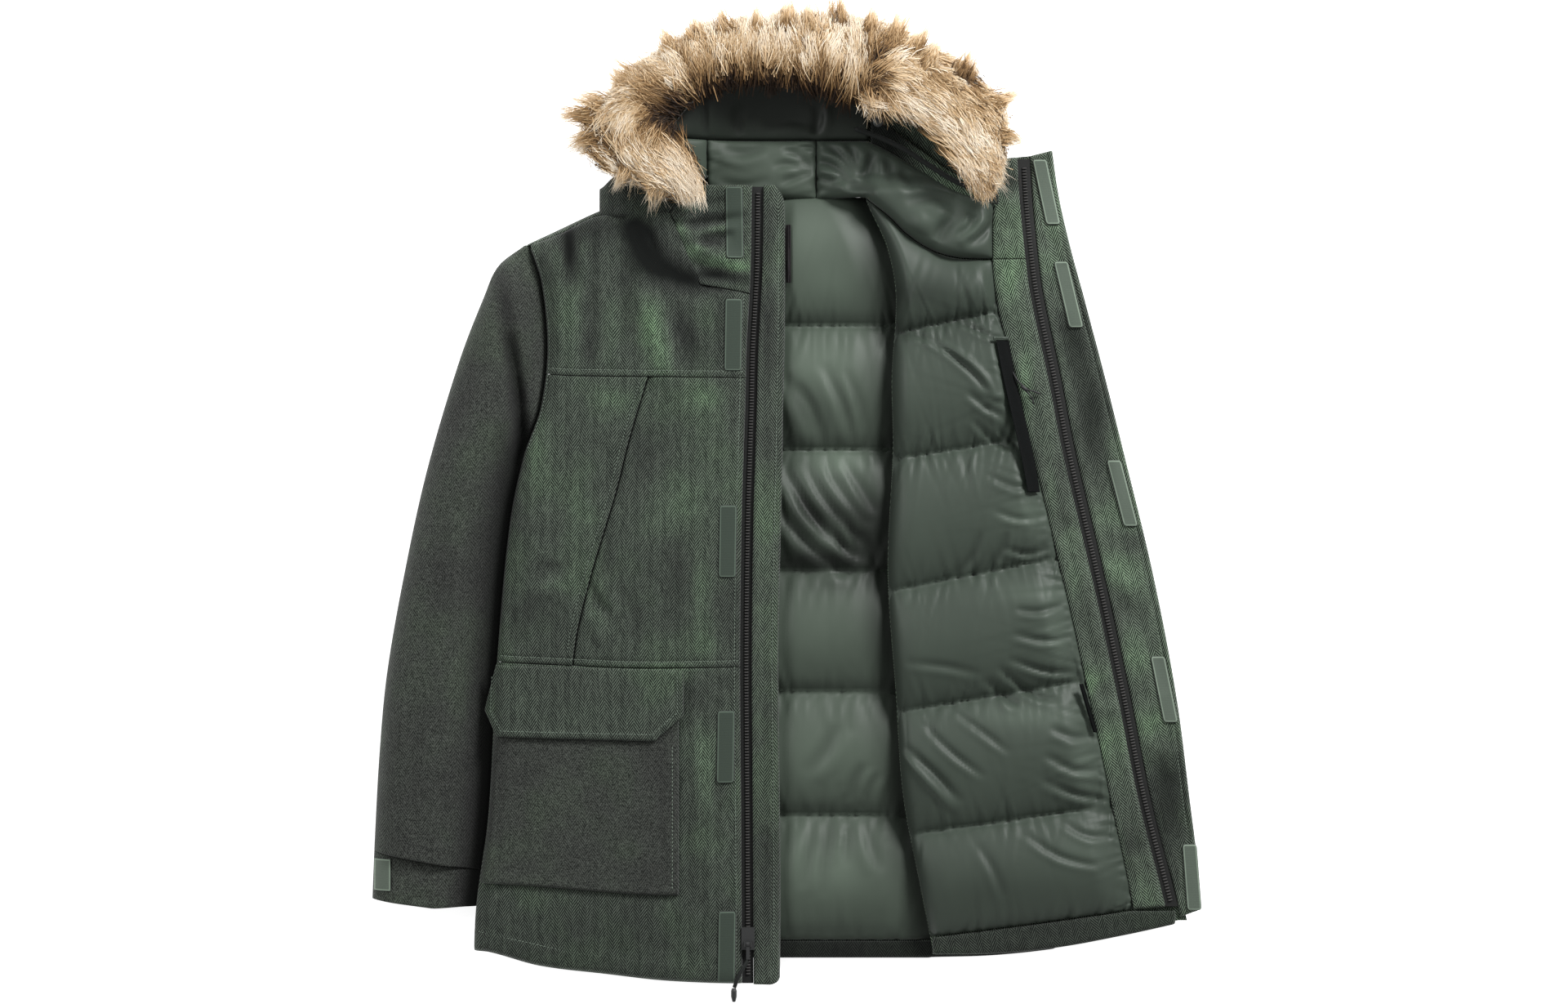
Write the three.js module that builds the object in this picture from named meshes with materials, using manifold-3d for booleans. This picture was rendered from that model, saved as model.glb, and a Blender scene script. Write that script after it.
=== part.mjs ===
// A hooded, insulated parka with a fur ruff, laid flat on its back.
// The wearer's right front is closed over the back; the left front is opened out, lining up,
// over the left sleeve. Millimetres. X runs to the wearer's left, Y towards the hood, Z up from
// the surface it lies on. The origin is on the underside of the back, below the chest.

import * as THREE from 'three';
import { mergeVertices } from 'three/addons/utils/BufferGeometryUtils.js';
import Module from 'manifold-3d';

const wasm = await Module();
wasm.setup();

// ---------------------------------------------------------------- driving dimensions

const SEAM_GAP = 0.3;          // between two pieces sewn edge to edge
const LAY_GAP = 0.6;           // under a piece that lies on another
const CLOTH = 2;               // one layer of outer cloth
const BACK_CENTRE = 32;        // x of the centre of the back
const BACK_CREST = 21;         // top of the puffed lining of the back
const BACK_SEAM = 9;           // top of that lining at its quilting seams
const FRONT_UNDER = BACK_CREST + 0.8;   // underside of the closed right front
const FRONT_TOP = 41;          // crown of the closed right front
const SLEEVE_SPLIT = 13;       // where the upper and under halves of a sleeve meet
const SLEEVE_TOP = 45;         // crown of the right sleeve
const LEFT_SLEEVE_TOP = 33;    // crown of the left sleeve, pressed flat under the opened front
const OPEN_RISE = 13;          // how far the opened front climbs over the left sleeve
const TAPE_HALF = 6;           // half the width of a zip tape
const NECK_SEAM_Y = 370;       // where the back meets the hood
const HEM_BACK_Y = -382;       // lower edge of the back
const HOOD = { x: 64, y: 380, halfWidth: 158, height: 130, rimRise: 26 };

// ---------------------------------------------------------------- tables of the cut

// The closed right front: its outer side, the zip's teeth and the free edge of the placket.
const RIGHT_FRONT = [
  { y: 380, side: -222, teeth: 7, edge: 24 },
  { y: 366, side: -222, teeth: 6.5, edge: 31.5 },
  { y: 322, side: -218, teeth: 6, edge: 33 },
  { y: 285, side: -207, teeth: 5, edge: 33 },
  { y: 220, side: -201, teeth: 1.5, edge: 32.5 },
  { y: 160, side: -208, teeth: 0, edge: 31 },
  { y: 115, side: -224, teeth: -1.5, edge: 30.5 },
  { y: 48, side: -238, teeth: -3.5, edge: 29 },
  { y: -80, side: -250, teeth: -5, edge: 26.5 },
  { y: -240, side: -259, teeth: -4, edge: 28 },
  { y: -330, side: -271, teeth: -3.5, edge: 28.5 },
  { y: -410, side: -274, teeth: -3, edge: 28 },
];

// The opened left front: the valley beside the back, the edge of the quilting, the zip's teeth
// and the outer edge of the storm flap.
const LEFT_FRONT = [
  { y: 412, valley: 106, lining: 237, teeth: 267, flap: 296 },
  { y: 368, valley: 112, lining: 237, teeth: 269, flap: 302 },
  { y: 320, valley: 133, lining: 236, teeth: 273, flap: 312 },
  { y: 272, valley: 142, lining: 239, teeth: 279, flap: 325 },
  { y: 192, valley: 138, lining: 258, teeth: 296, flap: 346 },
  { y: 120, valley: 139, lining: 274, teeth: 310, flap: 364 },
  { y: 0, valley: 134, lining: 303, teeth: 338, flap: 393 },
  { y: -120, valley: 142, lining: 330, teeth: 364, flap: 416 },
  { y: -220, valley: 149, lining: 351, teeth: 384, flap: 429 },
  { y: -310, valley: 166, lining: 370, teeth: 407, flap: 439 },
  { y: -380, valley: 180, lining: 384, teeth: 424, flap: 437 },
];

// Outer edge of the right sleeve, from the shoulder to the cuff.
const SLEEVE = [
  { y: 322, outer: -223 },
  { y: 302, outer: -249 },
  { y: 270, outer: -264 },
  { y: 208, outer: -288 },
  { y: 100, outer: -320 },
  { y: 0, outer: -342 },
  { y: -100, outer: -359.5 },
  { y: -180, outer: -367 },
  { y: -272, outer: -372 },
  { y: -322, outer: -374 },
];

// Top of the right front: along the shoulder seam and the base of the hood, then down beside
// the collar and along its seam to the zip.
const SHOULDER_SEAM = [
  { x: -220, seam: 320 },
  { x: -192, seam: 330 },
  { x: -160, seam: 346 },
  { x: -144, seam: 350 },
  { x: -80, seam: 352 },
];
const COLLAR = { outerX: -80, outerY: 352, innerX: -50, innerY: 281, zipX: -2, zipY: 272, top: 380 };

// The back yoke's edge rolls over the shoulder and shows as a strip beyond the front's seam.
const SHOULDER = [
  { x: -222, outline: 322 },
  { x: -192, outline: 336 },
  { x: -160, outline: 351 },
  { x: -144, outline: 358 },
];

const HEM_RIGHT = [
  { x: -274, hem: -373 },
  { x: -256, hem: -374 },
  { x: -208, hem: -387 },
  { x: -144, hem: -395 },
  { x: -80, hem: -402 },
  { x: 28, hem: -406 },
];

// Seams across the right front.
const YOKE_SEAM = [{ x: -202, y: 194 }, { x: -176, y: 192 }, { x: -2, y: 190 }];
const WAIST_SEAM = [{ x: -251, y: -88 }, { x: -184, y: -91 }, { x: -112, y: -94 }, { x: -10, y: -93 }];
const SLANT_POCKET = [
  { y: 192, x: -101 },
  { y: 128, x: -120 },
  { y: 80, x: -132 },
  { y: 0, x: -156 },
  { y: -56, x: -170 },
  { y: -90, x: -175 },
];

// Quilting seams: across the back at one level each, and across the opened front from its
// valley (inner) to its facing (outer).
const BACK_QUILTS = [-365, -241.6, -120, 0, 120, 242.4, NECK_SEAM_Y];
const LEFT_QUILTS = [
  { inner: -358, outer: -330 },
  { inner: -258, outer: -228 },
  { inner: -138, outer: -106 },
  { inner: -20, outer: 14 },
  { inner: 110, outer: 131 },
  { inner: 234, outer: 256 },
];
const LEFT_NECK = [
  { x: 112, y: 367 },
  { x: 136, y: 348 },
  { x: 152, y: 332 },
  { x: 176, y: 316 },
  { x: 200, y: 308 },
  { x: 237, y: 306 },
];
const LEFT_HEM = [
  { x: 177, y: -376 },
  { x: 240, y: -374 },
  { x: 304, y: -367 },
  { x: 368, y: -355 },
  { x: 418, y: -344 },
];

// The ruff: inner and outer edge of the fur at each station, from the right end of the hood's
// opening round to the left, the level it rests at and how high it stands.
const RUFF = [
  { innerX: -49, innerY: 373, outerX: -58, outerY: 366, base: 40.3, height: 22 },
  { innerX: -49, innerY: 388, outerX: -108, outerY: 370, base: 40.3, height: 38 },
  { innerX: -51, innerY: 402, outerX: -148, outerY: 388, base: 40.3, height: 46 },
  { innerX: -60, innerY: 416, outerX: -164, outerY: 410, base: 40.3, height: 48 },
  { innerX: -74, innerY: 430, outerX: -166, outerY: 434, base: 40.3, height: 49 },
  { innerX: -86, innerY: 446, outerX: -146, outerY: 456, base: 40, height: 50 },
  { innerX: -78, innerY: 461, outerX: -124, outerY: 480, base: 40, height: 52 },
  { innerX: -50, innerY: 468, outerX: -92, outerY: 506, base: 40, height: 53 },
  { innerX: -10, innerY: 470, outerX: -40, outerY: 534, base: 40, height: 54 },
  { innerX: 44, innerY: 466, outerX: 40, outerY: 546, base: 40, height: 54 },
  { innerX: 84, innerY: 454, outerX: 112, outerY: 542, base: 40, height: 54 },
  { innerX: 122, innerY: 447, outerX: 168, outerY: 518, base: 42, height: 53 },
  { innerX: 158, innerY: 440, outerX: 212, outerY: 492, base: 46, height: 50 },
  { innerX: 182, innerY: 422, outerX: 246, outerY: 454, base: 50, height: 46 },
  { innerX: 198, innerY: 400, outerX: 248, outerY: 420, base: 54, height: 40 },
  { innerX: 212, innerY: 384, outerX: 238, outerY: 390, base: 56, height: 32 },
  { innerX: 222, innerY: 372, outerX: 230, outerY: 374, base: 57, height: 20 },
];

// Loop tabs up the right front and hook tabs up the storm flap: the middle of each, and how far
// its upper end leans to the left of its lower one.
const LOOP_TABS = [
  { x: -16.5, y: 342, lean: 1 },
  { x: -17.5, y: 232, lean: -1 },
  { x: -23, y: 30, lean: -1 },
  { x: -25, y: -171, lean: -1 },
  { x: -24, y: -367, lean: -1 },
];
const HOOK_TABS = [
  { x: 289, y: 372, lean: 13 },
  { x: 310, y: 271, lean: 15.5 },
  { x: 362.5, y: 77, lean: 17 },
  { x: 403.5, y: -114.5, lean: 13 },
  { x: 430.5, y: -298, lean: 5 },
];
const LOOP_TAB = { width: 17.5, length: 71 };
const HOOK_TAB = { width: 14.5, length: 65 };

// ---------------------------------------------------------------- curves from tables

const lerp = (a, b, t) => a + (b - a) * t;
const clamp01 = (t) => Math.min(1, Math.max(0, t));
const smooth = (t) => clamp01(t) ** 2 * (3 - 2 * clamp01(t));
const roll = (distance, radius) => Math.sqrt(1 - (1 - clamp01(distance / radius)) ** 2);

// A smooth function through one column of a table, held level past its ends.
function column(table, value, at = 'y') {
  const rows = [...table].sort((a, b) => a[at] - b[at]);
  const slope = (i) => {
    const before = rows[Math.max(0, i - 1)];
    const after = rows[Math.min(rows.length - 1, i + 1)];
    return (after[value] - before[value]) / (after[at] - before[at]);
  };
  return (where) => {
    const t = Math.min(rows.at(-1)[at], Math.max(rows[0][at], where));
    const i = Math.min(rows.length - 2, Math.max(0, rows.findIndex((row) => row[at] > t) - 1));
    const last = t >= rows.at(-1)[at] ? rows.length - 2 : i;
    const a = rows[last];
    const b = rows[last + 1];
    const span = b[at] - a[at];
    const s = (t - a[at]) / span;
    const rise = b[value] - a[value];
    const curve = s * (1 - s) * ((slope(last) * span - rise) * (1 - s) - (slope(last + 1) * span - rise) * s);
    return a[value] + rise * s + curve;
  };
}

const side = column(RIGHT_FRONT, 'side');
const rightTeeth = column(RIGHT_FRONT, 'teeth');
const rightEdge = column(RIGHT_FRONT, 'edge');
const sleeveOuter = column(SLEEVE, 'outer');
const shoulderSeam = column(SHOULDER_SEAM, 'seam', 'x');
const shoulder = column(SHOULDER, 'outline', 'x');
const hemRight = column(HEM_RIGHT, 'hem', 'x');
const yokeSeam = column(YOKE_SEAM, 'y', 'x');
const waistSeam = column(WAIST_SEAM, 'y', 'x');
const slantPocket = column(SLANT_POCKET, 'x');
const valley = column(LEFT_FRONT, 'valley');
const liningEdge = column(LEFT_FRONT, 'lining');
const leftTeeth = column(LEFT_FRONT, 'teeth');
const flapEdge = column(LEFT_FRONT, 'flap');
const leftNeck = column(LEFT_NECK, 'y', 'x');
const leftHem = column(LEFT_HEM, 'y', 'x');
const mirrored = (x) => 2 * BACK_CENTRE - x;

function neckline(x) {
  if (x < COLLAR.outerX) return shoulderSeam(x);
  if (x < COLLAR.innerX) {
    return lerp(COLLAR.outerY, COLLAR.innerY, (x - COLLAR.outerX) / (COLLAR.innerX - COLLAR.outerX));
  }
  return lerp(COLLAR.innerY, COLLAR.zipY, (x - COLLAR.innerX) / (COLLAR.zipX - COLLAR.innerX));
}

// Distance down from the shoulder; towards the neck the shoulder no longer slopes away.
const belowShoulder = (x, y) => neckline(x) - y + 3 * Math.max(0, x + 125);

// ---------------------------------------------------------------- heights of the layers

// How far a point lies up a slope that starts `from` and ends `to` this far in from the side.
const climb = (distance, from, to) => smooth((distance - from) / (to - from));

function rightFrontTop(x, y) {
  const sideRoll = roll(x - side(y), 26);
  const hemRoll = lerp(0.55, 1, roll(y - hemRight(x), 16));
  const shoulderRoll = lerp(0.25, 1, roll(belowShoulder(x, y), 44));
  const zipRoll = lerp(0.55, 1, roll(rightTeeth(y) - TAPE_HALF - x, 34));
  return lerp(23, FRONT_TOP, sideRoll * hemRoll * shoulderRoll * zipRoll);
}

function rightFrontUnder(x, y) {
  const inward = Math.min(x - side(y), belowShoulder(x, y));
  return lerp(CLOTH + LAY_GAP, FRONT_UNDER, climb(inward, 12, 42));
}

function backLiningTop(x, y, puff) {
  const rightEnd = backLiningEdge(y);
  const inward = Math.min(x - rightEnd, mirrored(rightEnd) - x);
  return lerp(BACK_SEAM, BACK_CREST, puff * climb(inward, 0, 40));
}

// The opened front rests on the back's lining at its valley and climbs over the left sleeve;
// near the collar it sinks again.
function openFrontUnder(x, y) {
  const overSleeve = smooth((x - 140) / 160);
  const belowCollar = smooth((412 - y) / 110);
  return FRONT_UNDER + OPEN_RISE * overSleeve * belowCollar;
}

const openLayer = (x, y) => openFrontUnder(x, y) + CLOTH + LAY_GAP;

// The hood lies on its crown: flat in the middle and rising to its rim, and lifted at the neck
// where it passes onto the back's padding.
function hoodRadius(x, y) {
  return Math.hypot((x - HOOD.x) / HOOD.halfWidth, (y - HOOD.y) / HOOD.height);
}

function hoodBowl(x, y) {
  return HOOD.rimRise * smooth((hoodRadius(x, y) - 0.62) / 0.38);
}

function hoodLayer(x, y) {
  const onBack = (openFrontUnder(x, y) + 1) * (1 - smooth((y - NECK_SEAM_Y) / 26)) * smooth((x - 64) / 50);
  const clear = LAY_GAP + 3 * smooth((hoodRadius(x, y) - 0.5) / 0.3);
  return Math.max(hoodBowl(x, y) + CLOTH + clear, onBack);
}

// ---------------------------------------------------------------- walls and pieces

// Where a point of a panel lies: u from its left edge to its right, v from its low edge to its
// high one. Edges are numbers or functions, left and right of y, low and high of x.
function between({ left, right, low, high }) {
  const edge = (value) => (typeof value === 'function' ? value : () => value);
  const [xLeft, xRight, yLow, yHigh] = [left, right, low, high].map(edge);
  return (u, v) => {
    let y = lerp(yLow(0), yHigh(0), v);
    let x = 0;
    for (let pass = 0; pass < 8; pass += 1) {
      x = lerp(xLeft(y), xRight(y), u);
      y = lerp(yLow(x), yHigh(x), v);
    }
    return [x, y];
  };
}

// Steps from 0 to 1 with a narrow first and last one, for a rim that turns down.
function steps(count, rim = 0) {
  if (!rim) return Array.from({ length: count + 1 }, (_, i) => i / count);
  const inner = steps(count - 2).map((t) => lerp(rim, 1 - rim, t));
  return [0, ...inner, 1];
}

function meshOf(positions, indices) {
  const geometry = new THREE.BufferGeometry();
  geometry.setAttribute('position', new THREE.Float32BufferAttribute(positions, 3));
  geometry.setIndex(indices);
  return geometry;
}

// A closed wall over a grid of places: top and under are heights at (x, y, u, v), and the
// outermost points of the top turn down by `rim`.
function wall({ place, across, along, top, under, rim = 0 }) {
  const positions = [];
  const indices = [];
  const columns = across.length;
  const rows = along.length;
  for (const layer of ['top', 'under']) {
    along.forEach((v, row) => across.forEach((u, col) => {
      const [x, y] = place(u, v);
      const onRim = row === 0 || col === 0 || row === rows - 1 || col === columns - 1;
      const z = layer === 'top' ? top(x, y, u, v) - (onRim ? rim : 0) : under(x, y, u, v);
      positions.push(x, y, z);
    }));
  }
  const at = (col, row, layer) => layer * columns * rows + row * columns + col;
  const quad = (a, b, c, d) => indices.push(a, b, c, a, c, d);
  for (let row = 0; row < rows - 1; row += 1) {
    for (let col = 0; col < columns - 1; col += 1) {
      quad(at(col, row, 0), at(col + 1, row, 0), at(col + 1, row + 1, 0), at(col, row + 1, 0));
      quad(at(col, row, 1), at(col, row + 1, 1), at(col + 1, row + 1, 1), at(col + 1, row, 1));
    }
  }
  const border = [];
  for (let col = 0; col < columns - 1; col += 1) border.push([col, 0]);
  for (let row = 0; row < rows - 1; row += 1) border.push([columns - 1, row]);
  for (let col = columns - 1; col > 0; col -= 1) border.push([col, rows - 1]);
  for (let row = rows - 1; row > 0; row -= 1) border.push([0, row]);
  border.forEach(([col, row], i) => {
    const [nextCol, nextRow] = border[(i + 1) % border.length];
    quad(at(col, row, 1), at(nextCol, nextRow, 1), at(nextCol, nextRow, 0), at(col, row, 0));
  });
  return meshOf(positions, indices);
}

const jacket = new THREE.Group();
jacket.name = 'hooded_jacket';

const finish = (color, roughness) => new THREE.MeshStandardMaterial({ color, roughness, metalness: 0 });
const SHELL = finish('#3f5142', 0.9);
const SLEEVE_CLOTH = finish('#3a4640', 0.9);
const LINING = finish('#4b6353', 0.45);
const TAB = finish('#4e6b55', 0.8);
const BLACK = finish('#17191a', 0.6);
const FUR = finish('#b08f68', 0.95);

function add(name, geometry, material) {
  const mesh = new THREE.Mesh(geometry, material);
  mesh.name = name;
  jacket.add(mesh);
  return mesh;
}

// A panel of a garment: edges, counts of steps, heights and the turned-down rim of its top.
function panel(name, material, { left, right, low, high, across, along, top, under, rim = 0, inset = 0.04 }) {
  const gap = SEAM_GAP / 2;
  const inside = (value, by) => (typeof value === 'function' ? (t) => value(t) + by : value + by);
  const place = between({
    left: inside(left, gap),
    right: inside(right, -gap),
    low: inside(low, gap),
    high: inside(high, -gap),
  });
  const geometry = wall({
    place,
    across: Array.isArray(across) ? across : steps(across, rim ? inset : 0),
    along: Array.isArray(along) ? along : steps(along, rim ? inset : 0),
    top,
    under,
    rim,
  });
  return add(name, geometry, material);
}

// ---------------------------------------------------------------- back

function backLiningEdge(y) {
  return side(Math.min(y, 250)) + 30 + 0.95 * Math.max(0, y - 250);
}

const backTop = (x) => {
  const fromCentre = BACK_CENTRE - Math.abs(x - BACK_CENTRE);
  const underShoulder = shoulder(fromCentre) - 3;
  return fromCentre < -144 ? underShoulder : lerp(355, NECK_SEAM_Y - 0.5, smooth((fromCentre + 144) / 70));
};

panel('back_shell', SHELL, {
  left: (y) => side(y) + 2.8,
  right: (y) => mirrored(side(y)) - 2.8,
  low: HEM_BACK_Y + 1,
  high: backTop,
  across: 10,
  along: 11,
  top: () => CLOTH,
  under: () => 0,
});

// Quilted lining: each band between two seams puffs up, and its outer columns are plain.
const QUILT_STEPS = [0, 0.08, 0.22, 0.4, 0.6, 0.78, 0.92];

function quiltRows(bands) {
  const rows = [];
  for (let band = 0; band < bands; band += 1) {
    QUILT_STEPS.forEach((t) => rows.push((band + t) / bands));
  }
  return [...rows, 1];
}

const bandPuff = (t) => Math.sin(Math.PI * clamp01(t)) ** 0.55;

function quiltedBack() {
  const bands = BACK_QUILTS.length - 1;
  const level = (v) => {
    const band = Math.min(bands - 1, Math.floor(v * bands + 1e-9));
    const t = v * bands - band;
    return [lerp(BACK_QUILTS[band], BACK_QUILTS[band + 1], t), t];
  };
  const place = (u, v) => {
    const y = level(v)[0];
    const left = backLiningEdge(y);
    return [lerp(left, mirrored(left), u), y];
  };
  return wall({
    place,
    across: [0, 0.1, 0.25, 0.42, 0.5, 0.56, 0.62, 0.68, 0.76, 0.9, 1],
    along: quiltRows(bands),
    top: (x, y, u, v) => backLiningTop(x, y, bandPuff(level(v)[1])),
    under: () => CLOTH + LAY_GAP,
  });
}
add('back_lining', quiltedBack(), LINING);

panel('back_hem', SHELL, {
  left: (y) => side(y) + 30,
  right: 300,
  low: HEM_BACK_Y,
  high: BACK_QUILTS[0],
  across: 10,
  along: 3,
  top: () => BACK_SEAM + 2,
  under: () => CLOTH + LAY_GAP,
  rim: 2,
});

// The back yoke's rolled edge along the right shoulder.
panel('back_yoke', SHELL, {
  left: -221,
  right: -145,
  low: (x) => neckline(x) + 0.6,
  high: shoulder,
  across: 6,
  along: 2,
  top: (x, y, u, v) => lerp(23, 12, v),
  under: () => CLOTH + LAY_GAP,
});

// ---------------------------------------------------------------- sleeves

const CUFF_SEAM = (x) => lerp(-274, -294, clamp01((x + 372) / 106));
const CUFF_END = (x) => lerp(-322, -330, clamp01((x + 372) / 60));

// Height across a pad: u runs from one edge to the other, and `fullness` squares it.
const flattened = (u, fullness) => (1 - Math.abs(2 * u - 1) ** fullness) ** (1 / 2);

// Height across a sleeve: full at its outer edge, and falling softly to the body's side.
const armProfile = (u, width) => roll(u * width, 36) * (0.25 * roll((1 - u) * width, 8) + 0.75 * smooth(((1 - u) * width) / 38));

function sleevePair(sideName, { outer, inner, flip, crown, upperFolds }) {
  const edges = flip ? { left: inner, right: outer } : { left: outer, right: inner };
  const seam = flip ? (x) => CUFF_SEAM(mirrored(x)) : CUFF_SEAM;
  const end = flip ? (x) => CUFF_END(mirrored(x)) : CUFF_END;
  const head = 320;
  const crownAt = (y) => lerp(crown * 0.72, crown, smooth((head - y) / 60));
  const profile = (y, u) => armProfile(flip ? 1 - u : u, Math.abs(outer(y) - inner(y)));
  const height = (x, y, u) => lerp(SLEEVE_SPLIT + 3, crownAt(y), profile(y, u)) + upperFolds(x, y, u);
  panel(`sleeve_${sideName}_upper`, SLEEVE_CLOTH, {
    ...edges,
    low: seam,
    high: head,
    across: flip ? 7 : [0, 0.03, 0.09, 0.18, 0.3, 0.45, 0.6, 0.72, 0.82, 0.92, 1],
    along: flip ? 12 : 18,
    top: height,
    under: () => SLEEVE_SPLIT + SEAM_GAP,
  });
  panel(`sleeve_${sideName}_under`, SLEEVE_CLOTH, {
    ...edges,
    low: seam,
    high: head,
    across: 2,
    along: 12,
    top: () => SLEEVE_SPLIT,
    under: () => 0,
  });
  const cuffHeight = (x, y, u) => lerp(SLEEVE_SPLIT + 2.5, crown - 9, profile(y, u));
  panel(`cuff_${sideName}_upper`, SLEEVE_CLOTH, {
    ...edges,
    low: end,
    high: seam,
    across: 9,
    along: 4,
    top: cuffHeight,
    under: () => SLEEVE_SPLIT + SEAM_GAP,
    rim: 1.5,
  });
  panel(`cuff_${sideName}_under`, SLEEVE_CLOTH, {
    ...edges,
    low: end,
    high: seam,
    across: 4,
    along: 2,
    top: () => SLEEVE_SPLIT,
    under: () => 0,
  });
  return cuffHeight;
}

// Below the armpit the sleeve keeps clear of the body's rolled side.
const sleeveInner = (y) => side(y) - 0.6;

// The crease under the sleeve head, where the cap bends down to the arm.
function sleeveCrease(x, y) {
  const crease = lerp(-226, -243, smooth((y - 150) / 130));
  const strength = smooth((y - 96) / 40) * smooth((300 - y) / 40);
  return -5 * strength * Math.exp(-(((x - crease) / 9) ** 2));
}

const rightCuffTop = sleevePair('right', {
  outer: sleeveOuter,
  inner: sleeveInner,
  flip: false,
  crown: SLEEVE_TOP,
  upperFolds: sleeveCrease,
});

// The left sleeve lies under the opened front, drawn in so that it stays behind the flap.
sleevePair('left', {
  outer: (y) => Math.min(mirrored(sleeveOuter(y)), flapEdge(y) - 7),
  inner: (y) => mirrored(sleeveInner(y)),
  flip: true,
  crown: LEFT_SLEEVE_TOP,
  upperFolds: () => 0,
});

// The cuff's closing tab wraps its outer edge.
const CUFF_TAB = { left: -371.5, right: -353, low: -313, high: -281 };
panel('cuff_tab_right', TAB, {
  ...CUFF_TAB,
  across: 4,
  along: 3,
  top: (x, y) => cuffTabLevel(x, y) + 2,
  under: (x, y) => cuffTabLevel(x, y),
});

function cuffTabLevel(x, y) {
  const u = (x - sleeveOuter(y)) / (sleeveInner(y) - sleeveOuter(y));
  return rightCuffTop(x, y, u) + LAY_GAP;
}

// ---------------------------------------------------------------- closed right front

const tapeLeft = (y) => rightTeeth(y) - TAPE_HALF;
const tapeRight = (y) => rightTeeth(y) + TAPE_HALF - 1;
const rightFront = { top: rightFrontTop, under: rightFrontUnder, rim: 2.2 };

panel('yoke_right', SHELL, {
  ...rightFront,
  left: side,
  right: tapeLeft,
  low: yokeSeam,
  high: neckline,
  across: [0, 0.04, 0.12, 0.22, 0.36, 0.5, 0.64, 0.7, 0.76, 0.88, 0.97, 1],
  along: 9,
});
panel('side_panel_right', SHELL, {
  ...rightFront,
  left: side,
  right: slantPocket,
  low: waistSeam,
  high: yokeSeam,
  across: [0, 0.05, 0.14, 0.26, 0.45, 0.7, 0.94, 1],
  along: 12,
  inset: 0.02,
});
panel('front_panel_right', SHELL, {
  ...rightFront,
  left: slantPocket,
  right: tapeLeft,
  low: waistSeam,
  high: yokeSeam,
  across: [0, 0.05, 0.25, 0.45, 0.62, 0.76, 0.88, 0.97, 1],
  along: 12,
  inset: 0.02,
});
panel('skirt_right', SHELL, {
  ...rightFront,
  left: side,
  right: tapeLeft,
  low: hemRight,
  high: waistSeam,
  across: [0, 0.02, 0.06, 0.12, 0.25, 0.45, 0.65, 0.8, 0.9, 0.97, 1],
  along: 12,
  inset: 0.02,
});

// Collar: stands up beside the zip and folds over towards the hood.
const collarLeft = (y) => {
  if (y < COLLAR.outerY) {
    return lerp(COLLAR.innerX, COLLAR.outerX, clamp01((y - COLLAR.innerY) / (COLLAR.outerY - COLLAR.innerY))) + 0.7;
  }
  return lerp(COLLAR.outerX, COLLAR.innerX, (y - COLLAR.outerY) / (COLLAR.top - COLLAR.outerY)) + 0.7;
};

function collarHeight(x, y) {
  const foldY = lerp(352, 296, smooth((x + 86) / 84));
  const fold = 3 * Math.exp(-(((y - foldY) / 14) ** 2));
  const topRoll = lerp(0.5, 1, roll(COLLAR.top - y, 8));
  return lerp(FRONT_UNDER + 2, 37, topRoll) + fold - 4 * (1 - roll(tapeLeft(y) - x, 10));
}

panel('collar_right', SHELL, {
  left: collarLeft,
  right: tapeLeft,
  low: (x) => neckline(Math.max(x, COLLAR.innerX)) + 0.8,
  high: COLLAR.top,
  across: 6,
  along: [0, 0.05, 0.2, 0.38, 0.55, 0.66, 0.78, 0.9, 0.97, 1],
  top: collarHeight,
  under: () => FRONT_UNDER,
  rim: 1.5,
});

// The hood's outer side that shows beside the collar.
panel('hood_side_right', SHELL, {
  left: -150,
  right: (y) => collarLeft(Math.max(y, COLLAR.outerY)) - 0.4,
  low: (x) => Math.max(shoulderSeam(x), 352) + 1.2,
  high: (x) => 376 + 10 * smooth((x + 150) / 40),
  across: 7,
  along: 4,
  top: (x) => lerp(28, 40, smooth((x + 152) / 30)),
  under: () => FRONT_UNDER,
  rim: 2,
});

const topRight = (x) => COLLAR.top - 14 * (1 - roll(rightEdge(300) + 1 - x, 14));

panel('zip_tape_right', BLACK, {
  left: tapeLeft,
  right: tapeRight,
  low: -404,
  high: COLLAR.top - 2,
  across: 2,
  along: 24,
  top: () => 27,
  under: () => FRONT_UNDER,
});
panel('placket_right', SHELL, {
  left: tapeRight,
  right: rightEdge,
  low: (x) => hemRight(x) + 12 * (1 - roll(rightEdge(-300) + 1 - x, 12)),
  high: topRight,
  across: 4,
  along: 20,
  top: (x, y) => lerp(26, 31, roll(rightEdge(y) - x, 9)),
  under: () => FRONT_UNDER,
  rim: 1,
  inset: 0.01,
});

// Cargo pocket on the skirt, and its flap with the lower corners cut off.
const pocketLevel = (x, y) => rightFrontTop(x, y) + LAY_GAP;
const POCKET_TOP_Y = -98;

panel('cargo_pocket_right', SHELL, {
  left: (y) => side(y) + 1.5,
  right: -71,
  low: (x) => lerp(-305, -316, smooth((x + 266) / 190)),
  high: POCKET_TOP_Y,
  across: [0, 0.02, 0.045, 0.08, 0.13, 0.35, 0.65, 0.98, 1],
  along: 10,
  top: (x, y) => pocketLevel(x, y) + 6,
  under: pocketLevel,
  rim: 2.5,
  inset: 0.015,
});

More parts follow.
